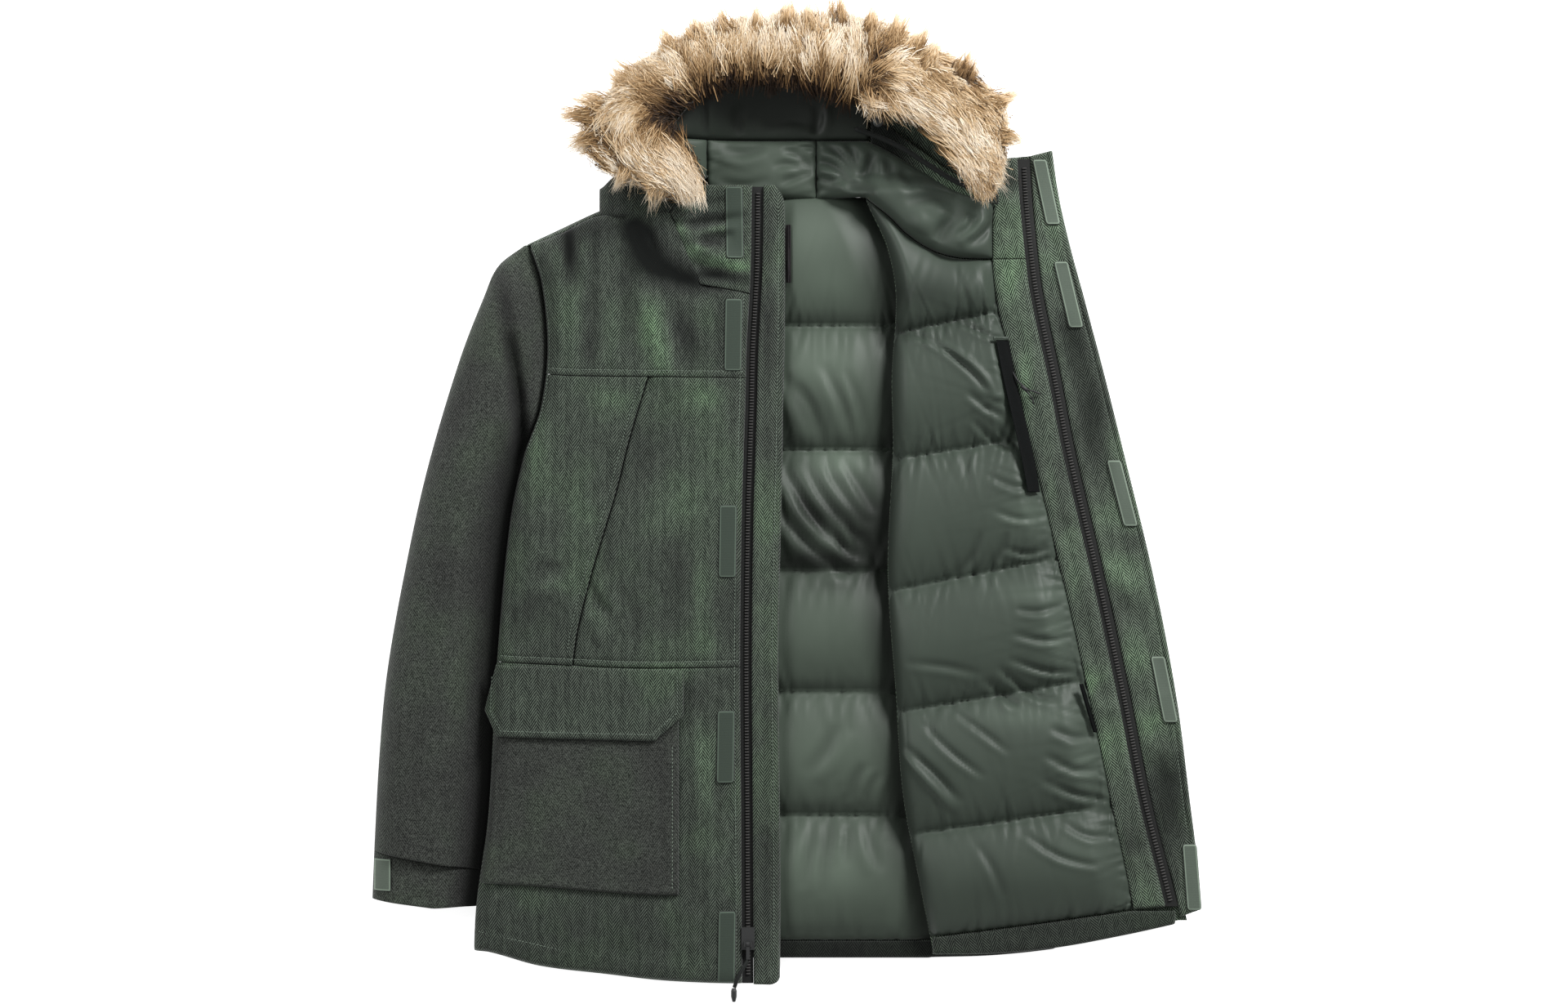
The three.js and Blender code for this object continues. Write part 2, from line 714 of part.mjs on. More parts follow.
const FLAP_CUT = 25;
const flapLeft = (y) => Math.max(lerp(-250, -262, clamp01((-90 - y) / 45)), -262 + Math.max(0, -136 - y) * 0.5);
const flapRight = (y) => -66 - Math.max(0, -140 - y) * 1.12;
panel('cargo_flap_right', SHELL, {
  left: flapLeft,
  right: flapRight,
  low: (x) => -140 - FLAP_CUT + 4 * clamp01((-94 - x) / 150),
  high: (x) => lerp(-91, -96, clamp01((x + 250) / 184)),
  across: [0, 0.02, 0.045, 0.07, 0.11, 0.16, 0.36, 0.65, 0.86, 0.98, 1],
  along: [0, 0.07, 0.16, 0.33, 0.65, 0.95, 1],
  top: (x, y) => flapLevel(x, y) + 3.2,
  under: (x, y) => flapLevel(x, y),
  rim: 1.2,
});

function flapLevel(x, y) {
  const pocketSide = Math.max(side(y) + 1.5, x);
  const lowered = 0.9 * Math.max(0, pocketSide - x);
  return pocketLevel(pocketSide, y) + 6.4 + LAY_GAP - lowered;
}

function tab(name, { x, y, lean }, { width, length }, level) {
  const middle = (at) => x - lean * (at - y) / length;
  panel(name, TAB, {
    left: (at) => middle(at) - width / 2,
    right: (at) => middle(at) + width / 2,
    low: y - length / 2,
    high: y + length / 2,
    across: 3,
    along: 4,
    top: (px, py) => level(px, py) + 1.8,
    under: level,
    rim: 0.6,
    inset: 0.12,
  });
}

function loopTabLevel(x, y) {
  if (y > COLLAR.innerY) return collarHeight(x, Math.min(y, COLLAR.top - 10)) + LAY_GAP;
  return rightFrontTop(x, y) + LAY_GAP;
}
LOOP_TABS.forEach((row, i) => tab(`loop_tab_${i + 1}`, row, LOOP_TAB, loopTabLevel));

// A blank label, half hidden by the placket.
panel('neck_label', BLACK, {
  left: 33.6,
  right: 38.5,
  low: 284,
  high: 341,
  across: 1,
  along: 8,
  top: (x, y) => backLiningTop(x, y, 1) + LAY_GAP + 0.8,
  under: (x, y) => backLiningTop(x, y, 1) + LAY_GAP,
});

// ---------------------------------------------------------------- opened left front

const leftTapeLow = (y) => leftTeeth(y) - TAPE_HALF;
const leftTapeHigh = (y) => leftTeeth(y) + TAPE_HALF;
const leftFootY = (x) => lerp(-330, -327, clamp01((x - 372) / 38));

panel('front_left_shell', SHELL, {
  left: valley,
  right: (y) => leftTapeHigh(y) - 1.2,
  low: (x) => leftHem(x) + 3,
  high: (x) => leftNeck(x) - 0.6,
  across: 11,
  along: 12,
  top: (x, y) => openFrontUnder(x, y) + CLOTH,
  under: openFrontUnder,
});
panel('collar_left_shell', SHELL, {
  left: liningEdge,
  right: (y) => leftTapeHigh(y) - 1.2,
  low: 306,
  high: (x) => lerp(405, 409, clamp01((x - 240) / 40)),
  across: 3,
  along: 5,
  top: (x, y) => openFrontUnder(x, y) + CLOTH,
  under: openFrontUnder,
});

function quiltedLeftFront() {
  const levels = [...LEFT_QUILTS, null];
  const bands = LEFT_QUILTS.length;
  const seamY = (row, x, u) => (levels[row] ? lerp(levels[row].inner, levels[row].outer, u) : leftNeck(x) - SEAM_GAP);
  const place = (u, v) => {
    const band = Math.min(bands - 1, Math.floor(v * bands + 1e-9));
    const t = v * bands - band;
    let x = lerp(150, 300, u);
    let y = 0;
    for (let pass = 0; pass < 8; pass += 1) {
      y = lerp(seamY(band, x, u), seamY(band + 1, x, u), t);
      x = lerp(valley(y) + SEAM_GAP, liningEdge(y) - SEAM_GAP, u);
    }
    return [x, y];
  };
  const top = (x, y, u, v) => {
    const t = (v * bands) % 1;
    const fill = smooth(u / 0.1) * smooth((1 - u) / 0.12);
    return openLayer(x, y) + lerp(6, 21, bandPuff(t) * lerp(0.25, 1, fill));
  };
  return wall({
    place,
    across: [0, 0.06, 0.14, 0.3, 0.5, 0.7, 0.86, 0.95, 1],
    along: quiltRows(bands),
    top,
    under: openLayer,
  });
}
add('front_left_lining', quiltedLeftFront(), LINING);

const facingTop = (x, y) => openLayer(x, y) + 8;
panel('facing_left', SHELL, {
  left: liningEdge,
  right: leftTapeLow,
  low: leftFootY,
  high: 306,
  across: 4,
  along: 16,
  top: facingTop,
  under: openLayer,
  rim: 2,
  inset: 0.02,
});
panel('collar_facing_left', SHELL, {
  left: liningEdge,
  right: leftTapeLow,
  low: 306,
  high: (x) => lerp(405, 408, clamp01((x - 240) / 30)),
  across: 4,
  along: 6,
  top: facingTop,
  under: openLayer,
  rim: 2,
});
panel('zip_tape_left', BLACK, {
  left: leftTapeLow,
  right: leftTapeHigh,
  low: -327,
  high: 405,
  across: 1,
  along: 20,
  top: (x, y) => openLayer(x, y) + 4,
  under: (x, y) => openLayer(x, y) + 0.3,
});

const stormFlapTop = (x, y) => openFrontUnder(x, y) + 8.5;
panel('storm_flap_left', SHELL, {
  left: (y) => leftTapeHigh(y) + 0.6,
  right: flapEdge,
  low: (x) => lerp(-340, -331, clamp01((x - 414) / 24)),
  high: (x) => lerp(408, 414, clamp01((x - 272) / 24)),
  across: 4,
  along: 20,
  top: stormFlapTop,
  under: openFrontUnder,
  rim: 2,
  inset: 0.015,
});
HOOK_TABS.forEach((row, i) => {
  tab(`hook_tab_${i + 1}`, row, HOOK_TAB, (x, y) => stormFlapTop(x, y) + LAY_GAP);
});

// The turned hem below the quilting, in outer cloth.
const quiltFoot = (x) => lerp(-358, -330, clamp01((x - 176) / 196));
panel('front_left_hem', SHELL, {
  left: 178,
  right: 415,
  low: leftHem,
  high: (x) => Math.min(quiltFoot(x) - 1.4, -331),
  across: 9,
  along: 3,
  top: (x, y) => openLayer(x, y) + 7,
  under: openLayer,
  rim: 2,
});

// The chest pocket's black opening, along the edge of the facing.
const pocketSlit = (y) => lerp(238.5, 269, smooth((228 - y) / 152) * 0.35 + clamp01((228 - y) / 152) * 0.65);
panel('chest_pocket_left', BLACK, {
  left: pocketSlit,
  right: (y) => pocketSlit(y) + 13,
  low: 78,
  high: 227,
  across: 3,
  along: 10,
  top: (x, y) => chestPocketLevel(x, y) + 1.2,
  under: chestPocketLevel,
});

function chestPocketLevel(x, y) {
  return openLayer(x, y) + lerp(10.6, 21.8, smooth((liningEdge(y) - x) / 16));
}

// ---------------------------------------------------------------- hood

// The outer of the hood: a shallow bowl on its crown, cut straight across at the neck.
function hoodPlace(foot, radius) {
  return (u, v) => {
    const angle = Math.PI * lerp(0.9, -0.02, u);
    const rimX = HOOD.x + radius * HOOD.halfWidth * Math.cos(angle);
    const rimY = HOOD.y + radius * HOOD.height * Math.sin(angle);
    return [lerp(lerp(-40, 204, u), rimX, v), lerp(foot, rimY, v)];
  };
}
add('hood_outer', wall({
  place: hoodPlace(NECK_SEAM_Y + 0.4, 1),
  across: steps(15),
  along: [0, 0.4, 0.56, 0.68, 0.8, 0.9, 1],
  top: (x, y) => hoodBowl(x, y) + CLOTH,
  under: hoodBowl,
}), SHELL);

const CROWN_SEAM_Y = 425;
const hoodReach = (x) => {
  const across = (x - HOOD.x) / (HOOD.halfWidth * 0.94);
  return HOOD.y + HOOD.height * 0.94 * Math.sqrt(Math.max(0.02, 1 - across ** 2));
};
// The black binding that edges the puffed lining on the wearer's left.
const BINDING = [
  { x: 64, y: 426 },
  { x: 96, y: 430 },
  { x: 128, y: 419 },
  { x: 168, y: 395 },
  { x: 200, y: 374 },
  { x: 237, y: 362 },
];
const binding = column(BINDING, 'y', 'x');
const hoodPad = (full) => (x, y, u, v) => hoodLayer(x, y) + lerp(7, full, flattened(u, 4) * flattened(v, 4));

panel('hood_lining_centre', LINING, {
  left: -44,
  right: 64,
  low: NECK_SEAM_Y + 0.4,
  high: CROWN_SEAM_Y,
  across: 8,
  along: 6,
  top: hoodPad(16),
  under: hoodLayer,
});
panel('hood_lining_right_side', LINING, {
  left: (y) => HOOD.x - HOOD.halfWidth * 0.9 * Math.sqrt(1 - ((y - HOOD.y) / HOOD.height) ** 2),
  right: -44,
  low: 388,
  high: CROWN_SEAM_Y,
  across: 3,
  along: 5,
  top: hoodPad(13),
  under: hoodLayer,
});
panel('hood_crown', LINING, {
  left: -72,
  right: 116,
  low: CROWN_SEAM_Y + 0.6,
  high: (x) => hoodReach(x) - 2,
  across: 10,
  along: 5,
  top: hoodPad(12),
  under: hoodLayer,
});
const leftSideFoot = (x) => (x < 108 ? NECK_SEAM_Y + 0.4 : leftNeck(x) + 1.6);
panel('hood_lining_left_side', LINING, {
  left: 64,
  right: liningEdge,
  low: leftSideFoot,
  high: (x) => Math.min(binding(x), x < 117 ? CROWN_SEAM_Y : 999),
  across: 12,
  along: 8,
  top: hoodPad(23),
  under: hoodLayer,
});
panel('hood_edge_band', SHELL, {
  left: 118,
  right: 232,
  low: (x) => binding(x) + 0.4,
  high: (x) => binding(x) + lerp(24, 12, clamp01((x - 120) / 110)),
  across: 8,
  along: 3,
  top: (x, y, u, v) => hoodLayer(x, y) + lerp(12, 16, v),
  under: hoodLayer,
  rim: 1,
});

// The ruff: a tube of fur round the hood's opening, flat below where it rests on the rim.
const RUFF_SIDES = 10;
const RUFF_STATIONS = 40;

function ruffTube() {
  const rows = RUFF.map((row, i) => ({ ...row, station: i / (RUFF.length - 1) }));
  const names = ['innerX', 'innerY', 'outerX', 'outerY', 'base', 'height'];
  const curves = Object.fromEntries(names.map((name) => [name, column(rows, name, 'station')]));
  const positions = [];
  const indices = [];
  for (let i = 0; i <= RUFF_STATIONS; i += 1) {
    const at = Object.fromEntries(names.map((name) => [name, curves[name](i / RUFF_STATIONS)]));
    for (let j = 0; j < RUFF_SIDES; j += 1) {
      const angle = (2 * Math.PI * j) / RUFF_SIDES;
      const out = (1 - Math.cos(angle)) / 2;
      const up = Math.sin(angle);
      const z = up >= 0 ? at.base + 10 + (at.height - 10) * up : at.base + 10 * (1 + up);
      positions.push(lerp(at.innerX, at.outerX, out), lerp(at.innerY, at.outerY, out), z);
    }
  }
  const point = (i, j) => i * RUFF_SIDES + (j % RUFF_SIDES);
  for (let i = 0; i < RUFF_STATIONS; i += 1) {
    for (let j = 0; j < RUFF_SIDES; j += 1) {
      indices.push(point(i, j), point(i + 1, j), point(i + 1, j + 1));
      indices.push(point(i, j), point(i + 1, j + 1), point(i, j + 1));
    }
  }
  for (let j = 1; j < RUFF_SIDES - 1; j += 1) {
    indices.push(point(0, 0), point(0, j), point(0, j + 1));
    indices.push(point(RUFF_STATIONS, 0), point(RUFF_STATIONS, j + 1), point(RUFF_STATIONS, j));
  }
  return meshOf(positions, indices);
}
add('fur_ruff', ruffTube(), FUR);

// ---------------------------------------------------------------- zip slider and its pull

const SLIDER = { y: -359, body: 9.4, cap: 13, length: 22, level: 27.4, capLevel: 33.8, capThick: 2.4 };
const PIN = { radius: 0.9, y: SLIDER.y - 5, z: SLIDER.capLevel + SLIDER.capThick + 2.8 };
const EYE_WIDTH = 3.4;

function toSolid(geometry) {
  const bare = geometry.index ? geometry : geometry.clone();
  bare.deleteAttribute('normal');
  bare.deleteAttribute('uv');
  const merged = mergeVertices(bare, 1e-4);
  return new wasm.Manifold(new wasm.Mesh({
    numProp: 3,
    vertProperties: new Float32Array(merged.attributes.position.array),
    triVerts: new Uint32Array(merged.index.array),
  }));
}

function fromSolid(solid) {
  const { vertProperties, triVerts } = solid.getMesh();
  return meshOf(Array.from(vertProperties), Array.from(triVerts));
}

function boxAt(width, length, height, x, y, z) {
  return new THREE.BoxGeometry(width, length, height).translate(x, y, z);
}

const sliderX = rightTeeth(SLIDER.y);
const lugX = EYE_WIDTH / 2 + SEAM_GAP + 0.9;
const lugHeight = PIN.z + 1.4 - SLIDER.capLevel;
const bodyHeight = SLIDER.capLevel + 1 - SLIDER.level;
const sliderSolid = [
  ...[-1, 1].map((hand) => boxAt(1.8, 5, lugHeight, sliderX + hand * lugX, PIN.y, SLIDER.capLevel + lugHeight / 2)),
  boxAt(SLIDER.body, SLIDER.length - 3, bodyHeight, sliderX, SLIDER.y, SLIDER.level + bodyHeight / 2),
  new THREE.CylinderGeometry(PIN.radius, PIN.radius, 2 * lugX, 12).rotateZ(Math.PI / 2).translate(sliderX, PIN.y, PIN.z),
].map(toSolid).reduce(
  (solid, piece) => solid.add(piece),
  toSolid(boxAt(SLIDER.cap, SLIDER.length, SLIDER.capThick, sliderX, SLIDER.y, SLIDER.capLevel + SLIDER.capThick / 2)),
);
add('zip_slider', fromSolid(sliderSolid), BLACK);

// The pull's plate: an eye round the pin and an arm that lies towards the hem.
const PLATE = { arm: 15, thick: 2, eye: 2.5, hole: PIN.radius + 0.35 };
const plateShape = new THREE.Shape();
plateShape.moveTo(-PLATE.arm, -PLATE.thick / 2);
plateShape.lineTo(-PLATE.eye * 0.9, -PLATE.thick / 2);
plateShape.absarc(0, 0, PLATE.eye, Math.PI + 0.41, Math.PI * 3 - 0.41, false);
plateShape.lineTo(-PLATE.arm, PLATE.thick / 2);
plateShape.holes.push(new THREE.Path().absarc(0, 0, PLATE.hole, 0, 2 * Math.PI, true));
const plate = new THREE.ExtrudeGeometry(plateShape, { depth: EYE_WIDTH, bevelEnabled: false, curveSegments: 12 })
  .translate(0, 0, -EYE_WIDTH / 2)
  .rotateX(Math.PI / 2)
  .rotateZ(Math.PI / 2)
  .translate(sliderX, PIN.y, PIN.z);
add('zip_pull', plate, BLACK);

// A doubled cord from the plate to a moulded end that hangs just past the hem.
const pullRoute = [
  [sliderX - 0.2, PIN.y - PLATE.arm - 1.2, PIN.z],
  [-8, -387, PIN.z + 2.6],
  [-13, -396, PIN.z + 3.8],
  [-16.5, -406, PIN.z + 1.6],
].map(([x, y, z]) => new THREE.Vector3(x, y, z));
const GRIP = { length: 13, radius: 2.9 };

function roundSection(radius, sides) {
  const shape = new THREE.Shape();
  for (let i = 0; i < sides; i += 1) {
    const angle = (2 * Math.PI * i) / sides;
    const point = [radius * Math.cos(angle), radius * Math.sin(angle)];
    if (i === 0) shape.moveTo(...point);
    else shape.lineTo(...point);
  }
  return shape;
}

function tubeAlong(points, radius, count) {
  return new THREE.ExtrudeGeometry(roundSection(radius, 8), {
    steps: count,
    bevelEnabled: false,
    extrudePath: new THREE.CatmullRomCurve3(points),
  });
}
add('zip_pull_cord', tubeAlong(pullRoute, 1.9, 8), BLACK);

const gripProfile = [[0, 0], [2, 0], [GRIP.radius, 2.5], [GRIP.radius, 8], [1.6, GRIP.length], [0, GRIP.length]];
const grip = new THREE.LatheGeometry(gripProfile.map(([r, h]) => new THREE.Vector2(r, h)), 10)
  .rotateZ(Math.PI)
  .translate(-17, -407.2, PIN.z + 1);
add('zip_pull_end', grip, BLACK);

export default jacket;
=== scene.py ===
# A hooded, insulated parka with a fur ruff, laid flat on its back: the wearer's right front is
# closed, the left one is opened out and shows its lining. X runs to the wearer's left, Y towards
# the hood and Z up. Sizes are in millimetres; every mesh is turned to metres as it is made.

import math

import bmesh
import bpy
import numpy as np
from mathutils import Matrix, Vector


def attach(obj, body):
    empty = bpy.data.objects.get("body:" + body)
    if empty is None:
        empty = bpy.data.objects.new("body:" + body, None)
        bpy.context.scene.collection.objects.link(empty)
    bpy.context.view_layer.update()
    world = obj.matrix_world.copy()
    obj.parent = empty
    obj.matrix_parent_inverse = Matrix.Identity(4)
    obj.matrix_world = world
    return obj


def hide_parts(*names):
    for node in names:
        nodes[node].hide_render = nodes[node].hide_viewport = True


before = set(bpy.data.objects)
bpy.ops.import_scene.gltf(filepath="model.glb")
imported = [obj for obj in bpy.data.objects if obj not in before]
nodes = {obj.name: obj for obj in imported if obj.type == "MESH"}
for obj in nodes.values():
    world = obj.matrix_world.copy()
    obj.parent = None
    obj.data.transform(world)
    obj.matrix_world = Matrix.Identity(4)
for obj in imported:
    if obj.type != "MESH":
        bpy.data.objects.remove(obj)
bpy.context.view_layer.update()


# ------------------------------------------------------------------ the table and the light
# The jacket lies on a plain white table top and is seen from straight above, with its hood
# up. A broad soft light stands beyond the hood to the upper right, in a bright white room.

VIEW_HEIGHT, CLOTH_HEIGHT, VIEW_WIDTH = 3.2, 0.035, 1.536    # metres
camera = bpy.data.objects.new("camera", bpy.data.cameras.new("camera"))
bpy.context.scene.collection.objects.link(camera)
camera.location = (0.032, 0.0684, VIEW_HEIGHT)
camera.data.lens = 36 * (VIEW_HEIGHT - CLOTH_HEIGHT) / VIEW_WIDTH
bpy.context.scene.camera = camera
bpy.context.scene.view_settings.view_transform = "Standard"

room = bpy.data.worlds.new("room")
room.use_nodes = True
room.node_tree.nodes["Background"].inputs["Color"].default_value = (1, 1, 1, 1)
room.node_tree.nodes["Background"].inputs["Strength"].default_value = 0.34
bpy.context.scene.world = room


def soft_light(name, place, size, watts):
    light = bpy.data.lights.new(name, "AREA")
    light.shape, light.size, light.energy = "DISK", size, watts
    lamp = bpy.data.objects.new(name, light)
    bpy.context.scene.collection.objects.link(lamp)
    lamp.location = place
    lamp.rotation_euler = (Vector((0.05, 0.05, 0)) - lamp.location).to_track_quat("-Z", "Y").to_euler()


soft_light("window", (1.6, 1.95, 1.75), 0.9, 88)
soft_light("reflector", (-1.7, 0.9, 1.5), 1.4, 20)


def toned(colour, amount):
    return tuple(amount * c for c in colour)


class Wire:
    """A number on its way through a finish; arithmetic on it adds the Math nodes."""

    def __init__(self, finish, socket):
        self.finish, self.socket = finish, socket

    def math(self, operation, *others):
        return self.finish.node("ShaderNodeMath", self, *others, operation=operation)

    def __add__(self, other):
        return self.math("ADD", other)

    def __sub__(self, other):
        return self.math("SUBTRACT", other)

    def __mul__(self, other):
        return self.math("MULTIPLY", other)

    def __truediv__(self, other):
        return self.math("DIVIDE", other)

    def __pow__(self, other):
        return self.math("POWER", other)

    def __lt__(self, other):
        return self.math("LESS_THAN", other)


class Finish:
    """A material: `node` makes a node from its settings and what goes into its sockets."""

    def __init__(self, name, **shader):
        self.material = bpy.data.materials.new(name)
        self.material.use_nodes = True
        self.tree = self.material.node_tree
        self.tree.nodes.clear()
        self.shader = self.node("ShaderNodeBsdfPrincipled", sockets=shader)
        self.node("ShaderNodeOutputMaterial", sockets={"Surface": self.shader})
        place = self.node("ShaderNodeTexCoord", output="Object")
        self.place = self.node("ShaderNodeVectorMath", place, (1000, 1000, 1000), operation="MULTIPLY")

    def node(self, kind, *inputs, output=0, sockets=(), stops=(), **settings):
        made = self.tree.nodes.new(kind)
        for name, value in settings.items():
            setattr(made, name, value)
        if stops:
            ramp = made.color_ramp
            while len(ramp.elements) < len(stops):
                ramp.elements.new(0.5)
            for element, (position, colour) in zip(ramp.elements, stops):
                element.position, element.color = position, (*colour, 1)
        for name, value in [*enumerate(inputs), *dict(sockets).items()]:
            if isinstance(value, Wire):
                self.tree.links.new(value.socket, made.inputs[name])
            elif value is not None:
                made.inputs[name].default_value = value
        return Wire(self, made.outputs[output]) if made.outputs else None

    def feed(self, name, value):
        shader = self.shader.socket.node
        if isinstance(value, Wire):
            self.tree.links.new(value.socket, shader.inputs[name])
        else:
            shader.inputs[name].default_value = value

    def mark(self, name):
        """A value that the mesh carries at each of its points."""
        return self.node("ShaderNodeAttribute", attribute_name=name, output="Fac")

    def noise(self, scale, detail=2, stretch=(1, 1, 1)):
        place = self.node("ShaderNodeVectorMath", self.place, toned(stretch, scale), operation="MULTIPLY")
        return self.node("ShaderNodeTexNoise", sockets={
            "Vector": place, "Scale": 1, "Detail": detail, "Roughness": 0.5})

    def split(self, vector=None):
        parts = self.node("ShaderNodeSeparateXYZ", vector or self.place).socket.node
        return [Wire(self, parts.outputs[i]) for i in range(3)]

    def mix(self, amount, low, high, blend_type="MIX"):
        pick = self.tree.nodes.new("ShaderNodeMix")
        pick.data_type, pick.blend_type = "RGBA", blend_type
        for index, value in ((0, amount), (6, low), (7, high)):
            if isinstance(value, Wire):
                self.tree.links.new(value.socket, pick.inputs[index])
            else:
                pick.inputs[index].default_value = (*value, 1) if index else value
        return Wire(self, pick.outputs[2])

    def bump(self, height, distance, strength):
        self.feed("Normal", self.node("ShaderNodeBump", sockets={
            "Height": height, "Distance": distance / 1000, "Strength": strength}))


# ------------------------------------------------------------------ how cloth is made here
# Each panel is a fine grid laid between its four edges and lifted to the height at which it
# lies; folds are pressed into it, its edges are rolled under, and it gets its thickness last.

CLOTH = 1.5
SEAM_GAP = 0.3
LAY_GAP = 0.6


def mix(a, b, t):
    return a + (b - a) * t


def ease(t):
    t = np.clip(t, 0, 1)
    return t * t * (3 - 2 * t)


def ramp(at, start, end, low, high):
    """From `low` at the start to `high` at the end, straight between them and level past them."""
    return mix(low, high, np.clip((at - start) / (end - start), 0, 1))


def swell(at, start, end, low, high):
    """The same with a soft turn at both ends."""
    return mix(low, high, ease((at - start) / (end - start)))


def roll(distance, radius):
    return np.sqrt(np.maximum(0, 1 - (1 - np.clip(distance / radius, 0, 1)) ** 2))


def column(*points):
    """A smooth line through (at, value) points, level past its ends."""
    at, value = np.array(sorted(points), float).T
    before = np.maximum(np.arange(len(at)) - 1, 0)
    after = np.minimum(np.arange(len(at)) + 1, len(at) - 1)
    slope = (value[after] - value[before]) / (at[after] - at[before])

    def line(where):
        where = np.clip(np.asarray(where, float), at[0], at[-1])
        i = np.clip(np.searchsorted(at, where, side="right") - 1, 0, len(at) - 2)
        span, rise = at[i + 1] - at[i], value[i + 1] - value[i]
        s = (where - at[i]) / span
        bend = (slope[i] * span - rise) * (1 - s) - (slope[i + 1] * span - rise) * s
        return value[i] + rise * s + s * (1 - s) * bend
    return line


def route(points, count=28):
    """A smooth curve through given points."""
    points = np.array(points, float)
    at = np.linspace(0, 1, len(points))
    t = np.linspace(0, 1, count)
    return np.stack([column(*zip(at, points[:, k]))(t) for k in range(points.shape[1])], 1)


def near_route(x, y, line):
    """How far points lie from a line, how far along it, and on which side."""
    best = np.full(x.shape, 1e9)
    along = np.zeros(x.shape)
    side_of = np.zeros(x.shape)
    for i, (a, b) in enumerate(zip(line[:-1], line[1:])):
        dx, dy = b - a
        t = np.clip(((x - a[0]) * dx + (y - a[1]) * dy) / max(dx * dx + dy * dy, 1e-9), 0, 1)
        distance = np.hypot(x - a[0] - t * dx, y - a[1] - t * dy)
        closer = distance < best
        best = np.where(closer, distance, best)
        along = np.where(closer, (i + t) / (len(line) - 1), along)
        side_of = np.where(closer, np.sign((x - a[0]) * dy - (y - a[1]) * dx), side_of)
    return best, along, side_of


def folded(x, y, folds):
    """The lift that folds give: each is (depth, width, lip, point, point, ...). A trough has a
    depth below 0; `lip` raises the cloth beside it, to the right of its run if above 0."""
    lift = np.zeros(x.shape)
    for depth, width, lip, *points in folds:
        line = route(points)
        reach = 3.5 * width
        low, high = line.min(0) - reach, line.max(0) + reach
        inside = (x > low[0]) & (x < high[0]) & (y > low[1]) & (y < high[1])
        if not inside.any():
            continue
        distance, along, hand = near_route(x[inside], y[inside], line)
        fade = np.sin(np.pi * np.clip(along, 0.001, 0.999)) ** 0.7
        signed = distance * hand
        shape = depth * np.exp(-(distance / width) ** 2)
        shape += abs(lip) * np.exp(-((signed - 1.6 * width * np.sign(lip or 1)) / width) ** 2)
        lift[inside] += shape * fade
    return lift


def crease_shade(lift, darkest):
    """Painted shade in a trough: darkest where it is about 10 mm deep or more."""
    return np.clip(-lift / 14, 0, darkest)


def painted_shading(x, y, *patches):
    """Painted shade (above 0) or painted light (below 0) in soft patches: (x, y, reach, reach, amount)."""
    return sum((amount * np.exp(-((x - px) / rx) ** 2 - ((y - py) / ry) ** 2)
                for px, py, rx, ry, amount in patches), np.zeros(x.shape))


def flat_at(value):
    """One level everywhere, as a line over x or y or as a height over both."""
    return lambda x, *_: np.full(np.shape(x), float(value))


def at_point(height):
    """A height over both as one number at one place."""
    return lambda x, y: float(height(np.array([x]), np.array([y]))[0])


def mesh_of(form, name):
    mesh = bpy.data.meshes.new(name)
    form.to_mesh(mesh)
    form.free()
    return mesh


def reform(mesh, change):
    form = bmesh.new()
    form.from_mesh(mesh)
    change(form)
    form.to_mesh(mesh)
    form.free()


def facing_out(form):
    bmesh.ops.recalc_face_normals(form, faces=form.faces)


def points_of(mesh):
    co = np.zeros(len(mesh.vertices) * 3)
    mesh.vertices.foreach_get("co", co)
    return co.reshape(-1, 3)


def mark_points(mesh, name, values):
    mesh.attributes.new(name, "FLOAT", "POINT").data.foreach_set("value", values.astype(np.float32))


def shown(mesh, finish, smooth=True):
    """The mesh as an object of the scene."""
    piece = bpy.data.objects.new(mesh.name, mesh)
    bpy.context.scene.collection.objects.link(piece)
    if smooth:
        for face in mesh.polygons:
            face.use_smooth = True
    mesh.materials.append(finish.material)
    return piece


def close_below(form, base):
    """Walls and an underside at the height `base`; a level underside is one face."""
    before = list(form.verts)
    bmesh.ops.extrude_face_region(form, geom=list(form.faces))
    for vert in before:
        vert.co.z = base(vert.co.x * 1000, vert.co.y * 1000) / 1000
    if max(vert.co.z for vert in before) == min(vert.co.z for vert in before):
        under = set(before)
        level = [face for face in form.faces if under.issuperset(face.verts)]
        bmesh.ops.dissolve_faces(form, faces=level)
    facing_out(form)


def grid(name, finish, across, along, shape, closed=False, base=None):
    """A grid of cloth. `shape` turns (u, v) into x, y and z; `closed` joins its two sides."""
    form = bmesh.new()
    bmesh.ops.create_grid(form, x_segments=len(across) - 1, y_segments=len(along) - 1, size=0.5)
    mesh = mesh_of(form, name)
    flat = points_of(mesh)
    u = np.interp(flat[:, 0] + 0.5, np.linspace(0, 1, len(across)), across)
    v = np.interp(flat[:, 1] + 0.5, np.linspace(0, 1, len(along)), along)
    x, y, z, *marks = shape(u, v)
    mesh.vertices.foreach_set("co", (np.stack([x, y, z], 1) / 1000).ravel())
    for mark, values in zip(("rim", "shade"), marks):
        mark_points(mesh, mark, values)
    if closed:
        reform(mesh, lambda form: bmesh.ops.remove_doubles(form, verts=form.verts, dist=1e-6))
    if base:
        reform(mesh, lambda form: close_below(form, base))
    mesh.update()
    return shown(mesh, finish)


def between(left, right, low, high):
    """Places points between four edges: left and right by y, low and high by x."""
    edges = (left, right, low, high)
    left, right, low, high = (edge if callable(edge) else flat_at(edge) for edge in edges)

    def place(u, v):
        y = mix(low(np.zeros(u.shape)), high(np.zeros(u.shape)), v)
        x = np.zeros(u.shape)
        for _ in range(8):
            x = mix(left(y), right(y), u)
            y = mix(low(x), high(x), v)
        return x, y, (x - left(y), right(y) - x, y - low(x), high(x) - y)
    return place


RIM_STEPS = [0, 0.5, 1.2, 2.2, 3.6, 5.0, 6.0, 6.8, 8.0]


